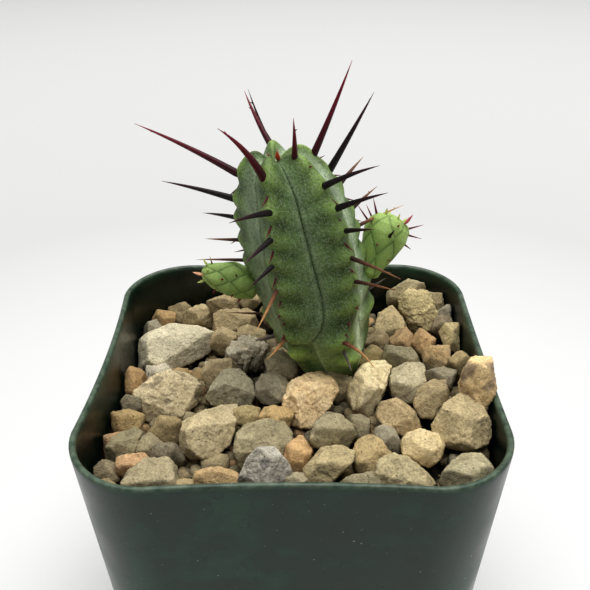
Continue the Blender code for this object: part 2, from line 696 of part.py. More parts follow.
def make_stones(colours, collection, cutters):
    rooms = {name: stone_room(*values, False) for name, values in STONES.items()}
    for number, values in enumerate(PEBBLES):
        rooms[f"pebble_{number}"] = stone_room(*values, True)
    pebbles = bmesh.new()
    for seed, (name, (middle, sizes, turn)) in enumerate(rooms.items()):
        named = name in STONES
        facets = STONE_FACETS if named else PEBBLE_FACETS
        bm = rough_stone(seed, middle, sizes, turn, facets, not named)
        size = math.sqrt(sizes[0] * sizes[1])
        for other, (place, extents, _) in rooms.items():
            apart = place - middle
            if other == name or apart.length > (max(sizes) + max(extents)):
                continue
            share = size / (size + math.sqrt(extents[0] * extents[1]))
            if not (named and other in STONES):
                apart.z = 0
            way = apart.normalized()
            cut_away(bm, middle + apart * share - way * GAP / 2, way)
        lean_out = RIM_STONE_LEAN if name == RIM_STONE else POT_TAPER
        keep_in_pot(bm, middle, lean_out, 2 * GAP if named else 3 * GAP)
        keep_off_stem(bm, middle)
        if named:
            bed = Vector((middle.x, middle.y, bed_top(middle.x, middle.y) + GAP))
            cut_away(bm, bed, Vector((*bed_slope(), -1)))
            tone = next((word for word in ("grey", "orange") if word in name), "tan")
            finish(bm, name, colours[f"stone_{tone}"], collection)
        else:
            cut_away(bm, Vector((0, 0, SOIL_TOP + 2 * GAP)), Vector((0, 0, -1)))
            mesh = bpy.data.meshes.new(name)
            bm.to_mesh(mesh)
            bm.free()
            pebbles.from_mesh(mesh)
    bed = pot_section(SOIL_TOP + GAP, POT_HEIGHT - BED_BELOW_RIM, POT_WALL + 2 * GAP, bed_lean)
    gravel = finish(bed, "gravel_bed", colours["gravel"], collection)
    combine(gravel, "UNION", hide_cutter(finish(pebbles, "pebbles", None, cutters)))
    combine(gravel, "DIFFERENCE", hide_cutter(finish(stem_shape(GAP), "stem_hole", None, cutters)))


def main():
    for old in list(bpy.data.objects):
        bpy.data.objects.remove(old)
    collection = bpy.data.collections.new("potted_euphorbia")
    cutters = bpy.data.collections.new("cutters")
    bpy.context.scene.collection.children.link(collection)
    bpy.context.scene.collection.children.link(cutters)
    colours = {
        "pot": material("green_plastic", (0.03, 0.045, 0.036), 0.4),
        "soil": material("dark_soil", (0.035, 0.025, 0.018), 0.95),
        "root": material("pale_root", (0.45, 0.33, 0.2), 0.8),
        "stem": material("green_skin", (0.09, 0.15, 0.06), 0.55),
        "offset": material("young_green_skin", (0.2, 0.33, 0.07), 0.5),
        "spine_red": material("dark_red_spine", (0.1, 0.012, 0.015), 0.45),
        "spine_dark": material("black_red_spine", (0.02, 0.008, 0.01), 0.45),
        "spine_brown": material("brown_spine", (0.2, 0.09, 0.05), 0.6),
        "leaf": material("red_green_leaf", (0.45, 0.1, 0.05), 0.5),
        "gravel": material("mixed_gravel", (0.3, 0.24, 0.15), 0.95),
        "stone_tan": material("tan_stone", (0.45, 0.36, 0.21), 0.9),
        "stone_orange": material("pale_orange_stone", (0.55, 0.38, 0.2), 0.9),
        "stone_grey": material("grey_stone", (0.24, 0.23, 0.17), 0.9),
    }
    plant = bpy.data.objects.new("plant", None)
    collection.objects.link(plant)
    make_pot(colours["pot"], collection, cutters)
    make_roots_and_soil(colours, collection, cutters)
    make_stones(colours, collection, cutters)
    finish(stem_shape(0), "stem", colours["stem"], collection, smooth=True)
    make_spines(colours, collection, plant)
    for name in OFFSETS:
        make_offset(name, colours["offset"], collection, plant)
    for name in LEAVES:
        make_leaf(name, colours["leaf"], collection, plant)


main()
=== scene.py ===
# Potted euphorbia: the looks of a small five-ribbed spiny stem in a square pot topped with stones.
# Shapes are made in millimetres, and finishPiece turns them to metres. The floor, the light and the
# camera are in metres.

import math
import random

import bmesh
import bpy
import numpy as np
from mathutils import Matrix, Vector, noise
from mathutils.bvhtree import BVHTree


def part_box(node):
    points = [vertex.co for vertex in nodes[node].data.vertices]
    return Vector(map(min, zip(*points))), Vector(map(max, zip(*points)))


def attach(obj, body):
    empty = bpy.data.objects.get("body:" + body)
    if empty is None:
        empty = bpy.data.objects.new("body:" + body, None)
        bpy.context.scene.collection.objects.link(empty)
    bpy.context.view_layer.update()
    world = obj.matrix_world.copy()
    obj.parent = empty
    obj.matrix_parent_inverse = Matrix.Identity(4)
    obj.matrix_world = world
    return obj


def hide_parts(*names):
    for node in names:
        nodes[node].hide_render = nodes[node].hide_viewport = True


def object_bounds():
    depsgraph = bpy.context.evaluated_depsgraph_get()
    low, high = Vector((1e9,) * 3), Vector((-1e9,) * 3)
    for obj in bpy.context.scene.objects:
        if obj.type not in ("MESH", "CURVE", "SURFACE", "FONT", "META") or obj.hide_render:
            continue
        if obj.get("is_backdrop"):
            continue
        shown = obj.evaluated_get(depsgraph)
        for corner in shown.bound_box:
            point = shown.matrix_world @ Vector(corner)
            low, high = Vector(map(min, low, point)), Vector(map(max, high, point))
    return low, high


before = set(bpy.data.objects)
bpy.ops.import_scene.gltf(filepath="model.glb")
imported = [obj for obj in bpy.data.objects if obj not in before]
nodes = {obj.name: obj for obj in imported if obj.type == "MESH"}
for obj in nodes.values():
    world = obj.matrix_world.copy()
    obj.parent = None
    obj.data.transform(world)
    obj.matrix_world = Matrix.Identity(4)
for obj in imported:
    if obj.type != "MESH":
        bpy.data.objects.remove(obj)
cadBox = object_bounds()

mm = 0.001


def linear(code):
    # sRGB hex to linear
    channels = [int(code[i : i + 2], 16) / 255 for i in (1, 3, 5)]
    return (*[c / 12.92 if c <= 0.04045 else ((c + 0.055) / 1.055) ** 2.4 for c in channels], 1)


def hue(code):
    return Vector(linear(code)[:3])


def fillNode(tree, node, settings):
    # a setting is a property, colour stops, or an input's value or the output it is linked to
    for key, value in settings.items():
        if key == "stops":
            marks = node.color_ramp.elements
            marks.remove(marks[-1])
            marks[0].position, marks[0].color = value[0][0], linear(value[0][1])
            for spot, code in value[1:]:
                marks.new(spot).color = linear(code)
        elif isinstance(value, bpy.types.NodeSocket):
            tree.links.new(value, node.inputs[key])
        elif isinstance(key, str) and hasattr(node, key):
            setattr(node, key, value)
        else:
            node.inputs[key].default_value = value


def addNode(tree, kind, settings, output=None):
    node = tree.nodes.new("ShaderNode" + kind)
    fillNode(tree, node, settings)
    return node.outputs[output] if output else next(socket for socket in node.outputs if socket.enabled)


def newMaterial(name, settings):
    made = bpy.data.materials.new(name)
    made.use_nodes = True
    tree = made.node_tree
    shader = tree.nodes["Principled BSDF"]
    fillNode(tree, shader, settings)
    return made, tree, shader, addNode(tree, "TexCoord", {}, "Object")


def mottle(tree, place, layers):
    # The points' own colour, darker and lighter with each layer: grain in millimetres, detail and
    # roughness of the noise, how far round its middle it counts, darkest and lightest share.
    colour = addNode(tree, "Attribute", {"attribute_name": "tint"})
    for grain, detail, roughness, spread, dark, light in layers:
        specks = addNode(
            tree,
            "TexNoise",
            {"Scale": 1 / (grain * mm), "Detail": detail, "Roughness": roughness, "Vector": place},
        )
        limits = {"From Min": 0.5 - spread, "From Max": 0.5 + spread, "To Min": dark, "To Max": light}
        share = addNode(tree, "MapRange", {**limits, "Value": specks})
        colour = addNode(tree, "VectorMath", {"operation": "SCALE", 0: colour, "Scale": share})
    return colour, specks


def newObject(bm, name, material=None):
    mesh = bpy.data.meshes.new(name)
    bm.to_mesh(mesh)
    bm.free()
    if material:
        mesh.materials.append(material)
        mesh.shade_smooth()
    made = bpy.data.objects.new(name, mesh)
    bpy.context.scene.collection.objects.link(made)
    return made


def finishPiece(bm, name, material, slot, replaced=()):
    bmesh.ops.scale(bm, vec=(mm, mm, mm), verts=bm.verts)
    piece = newObject(bm, name, material)
    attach(piece, "root")
    if replaced:
        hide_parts(*replaced)
    return piece


def newMesh():
    # a mesh whose points know their place round and along a loft, and their colour
    bm = bmesh.new()
    bm.verts.layers.int.new("step")
    bm.verts.layers.int.new("ring")
    bm.verts.layers.float_color.new("tint")
    return bm


def loft(bm, steps, rings, place):
    # a closed form: a disc whose edge is extruded ring by ring to where place(step, ring) says
    step, ringOf = bm.verts.layers.int["step"], bm.verts.layers.int["ring"]
    disc = bmesh.ops.create_circle(bm, cap_ends=True, segments=steps, radius=1)["verts"]
    for number, vert in enumerate(disc):
        vert[step] = number
        vert.co = place(number, 0)
    made = list(disc)
    edges = {edge for vert in disc for edge in vert.link_edges}
    for ring in range(1, rings):
        geometry = bmesh.ops.extrude_edge_only(bm, edges=list(edges))["geom"]
        fresh = {part for part in geometry if isinstance(part, bmesh.types.BMVert)}
        edges = {
            part
            for part in geometry
            if isinstance(part, bmesh.types.BMEdge) and fresh.issuperset(part.verts)
        }
        for vert in fresh:
            vert[ringOf] = ring
            vert.co = place(vert[step], ring)
        made += fresh
    lid = bmesh.ops.contextual_create(bm, geom=list(edges))["faces"]
    faces = {face for vert in made for face in vert.link_faces} | set(lid)
    bmesh.ops.recalc_face_normals(bm, faces=list(faces))
    return made


def smoothStep(low, high, value):
    share = max(0, min(1, (value - low) / (high - low)))
    return share * share * (3 - 2 * share)


def bell(value, width):
    return math.exp(-((value / width) ** 2))


def between(stops, place):
    # a number or vector between (place, value) pairs, level beyond both ends
    for (low, first), (high, second) in zip(stops, stops[1:]):
        if place <= high:
            return first + (second - first) * max(0, (place - low) / (high - low))
    return stops[-1][1]


def onCircle(angle, radius=1):
    return radius * math.cos(angle), radius * math.sin(angle)


def camel(name):
    first, *rest = name.split("_")
    return first + "".join(word.title() for word in rest)


# The pot, a thin tapered shell with a rolled lip.
pot = {
    "width": 63.5,
    "height": 62.0,
    "taper": 4.75,  # how far each wall leans in towards the foot
    "wall": 1.0,
    "rimCorner": 12.0,
    "baseCorner": 10.0,
    "footRound": 1.5,
    "lipRound": 0.45,
    "bow": (0.2, 0.55, 0.85, 0.85),  # right, back, left and front wall at the rim
    "outside": (4, 8, 14, 20, 26, 32, 38, 44, 50, 55, 58.5, 60.4, 61.3),  # heights of the loft's rings
    "inside": (61.3, 60, 57, 53, 48, 42, 34, 24, 14, 6, 3),
    "insideFloor": ((1.6, 1.2), (1.1, 1.7), (1, 2.4)),  # height and inset
    "insideShade": 0.3,  # painted shade: the inside walls are darkened
    "cornerSteps": 16,
    "sideSteps": 24,
    "drainHole": 6.0,
    "drainPlace": 14.0,
    "drillDepth": 4.0,
}


def potOutline(z, inset):
    half = pot["width"] / 2 - pot["taper"] * (1 - z / pot["height"]) - inset
    corner = pot["baseCorner"] + (pot["rimCorner"] - pot["baseCorner"]) * z / pot["height"]
    corner = max(0.5, corner - inset)
    flat, reach = half - corner, pot["width"] / 2 - pot["rimCorner"]
    points = []
    for side in range(4):
        turn = Matrix.Rotation(math.radians(90 * side), 2)
        for step in range(1, pot["sideSteps"]):
            across = flat * (2 * step / pot["sideSteps"] - 1)
            bow = pot["bow"][side] * (1 - min(1, abs(across) / reach) ** 2) * z / pot["height"]
            points.append(turn @ Vector((half - bow, across)))
        for step in range(pot["cornerSteps"] + 1):
            angle = math.radians(90 * step / pot["cornerSteps"])
            points.append(turn @ (Vector((flat, flat)) + corner * Vector(onCircle(angle))))
    return points


def pottingPlastic():
    # Injection-moulded polypropylene, dark green: a satin skin with a lighter, scuffed lip,
    # faint dried water rings and a little white dust. The tint attribute paints shade on the inside.
    made, tree, shader, place = newMaterial("greenPolypropylene", {"IOR": 1.49, "Specular IOR Level": 0.3})
    cloud = addNode(tree, "TexNoise", {"Scale": 1 / (9 * mm), "Detail": 4.0, "Vector": place})
    greens = ((0.32, "#0a1c14"), (0.52, "#0d281b"), (0.7, "#143a28"))
    body = addNode(tree, "ValToRGB", {"stops": greens, "Fac": cloud})
    ripple = addNode(tree, "TexNoise", {"Scale": 1 / (2 * mm), "Detail": 3.0, "Vector": place}, "Color")
    drift = (3 * mm, 3 * mm, 3 * mm)
    warped = addNode(tree, "VectorMath", {"operation": "MULTIPLY_ADD", 0: ripple, 1: drift, 2: place})
    drops = addNode(tree, "TexVoronoi", {"Scale": 1 / (4.5 * mm), "Vector": warped})
    rim = ((0.3, "#000000"), (0.35, "#ffffff"), (0.36, "#3a3a3a"), (0.42, "#000000"))
    ring = addNode(tree, "ValToRGB", {"stops": rim, "Fac": drops})
    patch = addNode(tree, "MapRange", {"From Min": 0.42, "From Max": 0.55, "To Max": 0.6, "Value": cloud})
    stains = addNode(tree, "Math", {"operation": "MULTIPLY", 0: ring, 1: patch})
    dust = addNode(tree, "TexNoise", {"Scale": 1 / (0.7 * mm), "Detail": 2.0, "Vector": place})
    specks = addNode(tree, "MapRange", {"From Min": 0.73, "From Max": 0.79, "To Max": 0.5, "Value": dust})
    height = addNode(tree, "SeparateXYZ", {0: place}, "Z")
    lip = addNode(tree, "MapRange", {"From Min": 61.25 * mm, "From Max": 61.95 * mm, "Value": height})
    scuffs = addNode(tree, "TexNoise", {"Scale": 1 / (1.2 * mm), "Detail": 5.0, "Vector": place})
    limits = {"From Min": 0.3, "From Max": 0.7}
    wear = addNode(tree, "MapRange", {**limits, "To Min": 0.15, "To Max": 0.8, "Value": scuffs})
    worn = addNode(tree, "Math", {"operation": "MULTIPLY", 0: lip, 1: wear})
    # painted shade of the pot's inside, carried in the tint attribute
    tint = addNode(tree, "Attribute", {"attribute_name": "tint"})
    colour = body
    for mask, over in (
        (stains, linear("#050d09")),
        (specks, linear("#a9b3aa")),
        (1.0, tint),
        (worn, linear("#63735f")),
    ):
        mixing = {"data_type": "RGBA", "blend_type": "MULTIPLY" if over is tint else "MIX"}
        colour = addNode(tree, "Mix", {**mixing, 0: mask, 6: colour, 7: over})
    gloss = addNode(tree, "MapRange", {**limits, "To Min": 0.24, "To Max": 0.42, "Value": cloud})
    grain = addNode(tree, "TexNoise", {"Scale": 1 / (0.5 * mm), "Detail": 3.0, "Vector": place})
    bump = addNode(tree, "Bump", {"Strength": 0.12, "Distance": 0.1 * mm, "Height": grain})
    fillNode(tree, shader, {"Base Color": colour, "Roughness": gloss, "Normal": bump})
    return made


def drillPot(piece):
    holes = bmesh.new()
    for x in (-pot["drainPlace"], pot["drainPlace"]):
        for y in (-pot["drainPlace"], pot["drainPlace"]):
            bmesh.ops.create_cone(
                holes,
                cap_ends=True,
                segments=40,
                radius1=pot["drainHole"] / 2 * mm,
                radius2=pot["drainHole"] / 2 * mm,
                depth=pot["drillDepth"] * mm,
                matrix=Matrix.Translation((x * mm, y * mm, 0)),
            )
    cutter = newObject(holes, "drainHoles")
    cut = piece.modifiers.new("drainHoles", "BOOLEAN")
    cut.operation = "DIFFERENCE"
    cut.object = cutter
    bpy.context.view_layer.update()
    graph = bpy.context.evaluated_depsgraph_get()
    piece.data = bpy.data.meshes.new_from_object(piece.evaluated_get(graph))
    piece.modifiers.clear()
    bpy.data.objects.remove(cutter)


def makePot():
    height, wall = pot["height"], pot["wall"]
    foot, lip = pot["footRound"], pot["lipRound"]
    # height and inset: up the outside, over the lip and down the inside
    profile = [(0, foot + 0.1), (0, foot)]
    for step in range(1, 6):
        x, y = onCircle(math.radians(18 * step), foot)
        profile.append((foot - x, foot - y))
    profile += [(z, 0) for z in pot["outside"]]
    for step in range(1, 8):
        angle = math.radians(22.5 * step)
        profile.append((height - lip + lip * math.sin(angle), wall / 2 - wall / 2 * math.cos(angle)))
    lipEnd = len(profile)
    profile += [(z, wall) for z in pot["inside"]]
    profile += pot["insideFloor"]
    outlines = [potOutline(z, inset) for z, inset in profile]

    def place(step, ring):
        x, y = outlines[ring][step]
        return Vector((x, y, profile[ring][0]))

    bm = newMesh()
    loft(bm, len(outlines[0]), len(profile), place)
    tint, ringOf = bm.verts.layers.float_color["tint"], bm.verts.layers.int["ring"]
    for vert in bm.verts:
        # painted shade on the rings inside the lip
        tone = pot["insideShade"] if vert[ringOf] > lipEnd else 1
        vert[tint] = (tone, tone, tone, 1)
    drillPot(finishPiece(bm, "pot", pottingPlastic(), "pot", ["pot"]))
    print("pot made")


# The gravel bed, whose top slopes up to the right and the back.
bed = {
    "depth": 5.5,
    "belowRim": 10.5,
    "leanRight": 0.44,
    "leanFront": 0.31,
    "half": 30.45,
    "edgeHeight": 50.0,  # where on the pot its outline is taken
    "edgeInset": 1.5,
    "rings": 60,
    "sunk": 1.4,  # how far its crumbs lie under the stones' level
    "crumbs": 1.2,  # how high they stand
    # the soil's own dark tone, and also painted shade for the deep gaps between the stones
    "colours": ("#1d1a14", "#4a4233"),
}


def bedTop(x, y):
    lean = bed["leanRight"] * x - bed["leanFront"] * y
    return pot["height"] - bed["belowRim"] + bed["depth"] * lean / bed["half"]


def stoneMaterial(name, roughness):
    # Broken river gravel, sandstone and fine-grained volcanic rock: dull, dusty, with grains a
    # third of a millimetre wide, darker specks and pits. Its tone, painted light and shade included,
    # comes from each stone.
    settings = {"Roughness": roughness, "IOR": 1.5, "Specular IOR Level": 0.25}
    made, tree, shader, place = newMaterial(name, settings)
    layers = ((3.2, 4.0, 0.5, 0.2, 0.9, 1.12), (0.36, 5.0, 0.68, 0.2, 0.62, 1.42))
    toned, grain = mottle(tree, place, layers)
    pits = addNode(tree, "TexVoronoi", {"Scale": 1 / (1.1 * mm), "Vector": place})
    limits = {"From Min": 0.06, "From Max": 0.14, "To Min": 0.55, "To Max": 0.0}
    dots = addNode(tree, "MapRange", {**limits, "Value": pits})
    specked = addNode(tree, "Mix", {"data_type": "RGBA", 0: dots, 6: toned, 7: linear("#4a4434")})
    rough = addNode(tree, "Math", {"operation": "SUBTRACT", 0: grain, 1: dots})
    bump = addNode(tree, "Bump", {"Strength": 1.0, "Distance": 0.34 * mm, "Height": rough})
    fillNode(tree, shader, {"Base Color": specked, "Normal": bump})
    return made


# What every stone has unless its own row says otherwise.
plainStone = {
    "detail": 5,  # subdivisions of the icosphere
    "chips": 6,  # corners knocked off
    "sharp": 75,  # crispness of the edges between flat breaks
    "rough": 1.0,
    "ledges": 0.8,  # strength of its layers
    "shade": 1.0,
}

# How all stone breaks and weathers, and the painted light and shade on it. Pairs are a noise's scale and
# its depth in millimetres.
stoneSkin = {
    "chip": (0.92, 0.99),  # share of a corner's reach that a chip leaves
    "chipSpread": 0.3,
    "swell": 1.02,
    "fullSize": 3.5,  # a stone of a smaller radius is smoother in proportion
    "sunk": 0.07,
    "slow": (0.35, 0.2),
    "broken": (0.9, 0.17),
    "fine": (3.4, 0.06),
    "ledge": (2.2, 0.14),  # layer thickness and step
    "edgeWidth": 0.035,
    "edgeLight": 0.14,
    # painted shade in the hollows of the rough surface
    "pitDark": 0.3,
    "dust": ("#ab9a76", 0.3),
    "stain": 0.6,
    "top": (0.68, 0.5),  # painted light: faces that point up are lighter
    "foot": (0.5, 0.5),  # painted shade: darker towards the lower part, where it sits among the others
}


def pullOf(ways, planes):
    # how far past each plane, a pair of its direction and its reach, a unit step in each way goes
    normals = np.array([tuple(normal) for normal, _ in planes])
    return ways @ normals.T / np.array([reach for _, reach in planes])


def breakStone(ways, planes, look, chance):
    # the flat breaks: the furthest corners knocked off, then a few faces towards the front
    planes = list(planes)
    for _ in range(look["chips"]):
        pull = pullOf(ways, planes).max(axis=1)
        corners = np.argsort(pull)[: max(8, len(pull) // 12)]
        corner = corners[chance.randrange(len(corners))]
        way = ways[corner] + stoneSkin["chipSpread"] * np.array([chance.uniform(-1, 1) for _ in range(3)])
        way /= np.linalg.norm(way)
        reach = float(way @ ways[corner]) / pull[corner] * chance.uniform(*stoneSkin["chip"])
        planes.append((way, reach))
    faces = [
        (chance.uniform(-50, 10), chance.uniform(5, 35), 0.8),
        (chance.uniform(0, 60), chance.uniform(10, 40), 0.84),
    ]
    for turn, rise, share in look.get("faces", faces):
        way = heading(turn, rise)
        reach = ((ways @ np.array(way)) / pullOf(ways, planes).max(axis=1)).max()
        planes.append((way, share * float(reach)))
    return planes


def carveStone(bm, middle, planes, look, seed):
    # an icosphere pushed in under flat breaks, then roughened and coloured break by break, with painted
    # light on faces that point up and painted shade low down and in hollows
    look = {**plainStone, **look}
    chance = random.Random(seed)
    tint = bm.verts.layers.float_color["tint"]
    made = bmesh.ops.create_icosphere(bm, subdivisions=look["detail"], radius=1)["verts"]
    ways = np.array([vert.co for vert in made])
    ways /= np.linalg.norm(ways, axis=1)[:, None]
    planes = breakStone(ways, planes, look, chance)
    pull = np.maximum(pullOf(ways, planes), 1e-3)
    radius = (pull ** look["sharp"]).sum(axis=1) ** (-1 / look["sharp"]) * stoneSkin["swell"]
    side = pull.argmax(axis=1)
    ranked = np.partition(pull, -2, axis=1)
    edge = np.exp(-(((1 - ranked[:, -2] / ranked[:, -1]) / stoneSkin["edgeWidth"]) ** 2))
    size = float(np.median(radius))
    worn = min(1, size / stoneSkin["fullSize"])
    shift = Vector([chance.uniform(-50, 50) for _ in range(3)])
    ledge = Vector([chance.uniform(-1, 1) for _ in range(3)]).normalized()
    shades = [chance.uniform(-1, 1) for _ in planes]
    dust, dusty = stoneSkin["dust"]
    light, dark = (hue(code).lerp(hue(dust), dusty) for code in look["colours"])
    scales, depths = zip(*(stoneSkin[name] for name in ("slow", "broken", "fine", "ledge")))
    for number, (vert, way) in enumerate(zip(made, ways)):
        way = Vector(way)
        spot = way * radius[number]
        slow = noise.noise(spot * scales[0] + shift)
        broken = noise.fractal(spot * scales[1] + shift, 0.55, 2.1, 4)
        fine = noise.fractal(spot * scales[2] + shift, 0.6, 2.0, 2)
        layer = spot.dot(ledge) / scales[3] + 1.2 * slow
        step = (smoothStep(0, 0.75, layer - math.floor(layer)) - 0.5) * look["ledges"]
        out = sum(depth * lump for depth, lump in zip(depths, (slow, broken, fine, step)))
        vert.co = Vector(middle) + way * (radius[number] + worn * (out * look["rough"] - stoneSkin["sunk"]))
        up = float(planes[side[number]][0][2])
        # painted light: faces that point up lean towards the light tone
        mix = 0.45 + 0.35 * up + 0.4 * slow + 0.2 * shades[side[number]] + 0.15 * broken
        tone = dark.lerp(light, max(0, min(1.15, mix)))
        # painted shade: darker where the rough surface sinks into hollows
        hollowShade = stoneSkin["pitDark"] * max(0, -broken)
        tone *= 1 + stoneSkin["edgeLight"] * edge[number] * (1 + broken) - hollowShade
        # painted light on faces that point up, painted shade towards the stone's lower part
        for (least, more), share in (
            (stoneSkin["top"], smoothStep(0, 0.8, up)),
            (stoneSkin["foot"], smoothStep(-0.7, 0.2, spot.z / size)),
        ):
            tone *= least + more * share
        tone *= look["shade"]
        if "stain" in look:
            stained = smoothStep(0.24, 0.4, noise.noise(spot * 0.5 - shift))
            tone = tone.lerp(hue(look["stain"]), stoneSkin["stain"] * stained)
        vert[tint] = (*tone, 1)


eye = Vector((1.6, -107.7, 135.1))  # where the camera stands, in millimetres


def viewFrame(middle):
    away = (Vector(middle) - eye).normalized()
    right = away.cross(Vector((0, 0, 1))).normalized()
    return right, right.cross(away)


def outlinePlanes(middle, outline):
    # planes along the line of sight through each side of an outline, right and up in millimetres
    right, up = viewFrame(middle)
    planes = []
    for (x, y), (nextX, nextY) in zip(outline, outline[1:] + outline[:1]):
        normal = (right * (y - nextY) + up * (nextX - x)).normalized()
        reach = normal.dot(right * x + up * y)
        planes.append((normal if reach >= 0 else -normal, max(0.4, abs(reach))))
    return planes


def cadStone(name):
    # a stone's middle and the planes that bound it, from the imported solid
    mesh = nodes[name].data
    corners = np.array([vert.co for vert in mesh.vertices]) / mm
    middle = (corners.min(axis=0) + corners.max(axis=0)) / 2
    planes = []
    for face in mesh.polygons:
        normal = np.array(face.normal)
        reach = float(normal @ (corners[face.vertices[0]] - middle))
        if reach > 0.3 and all(normal @ other <= 0.9995 for other, _ in planes):
            planes.append((normal, reach))
    return middle, planes


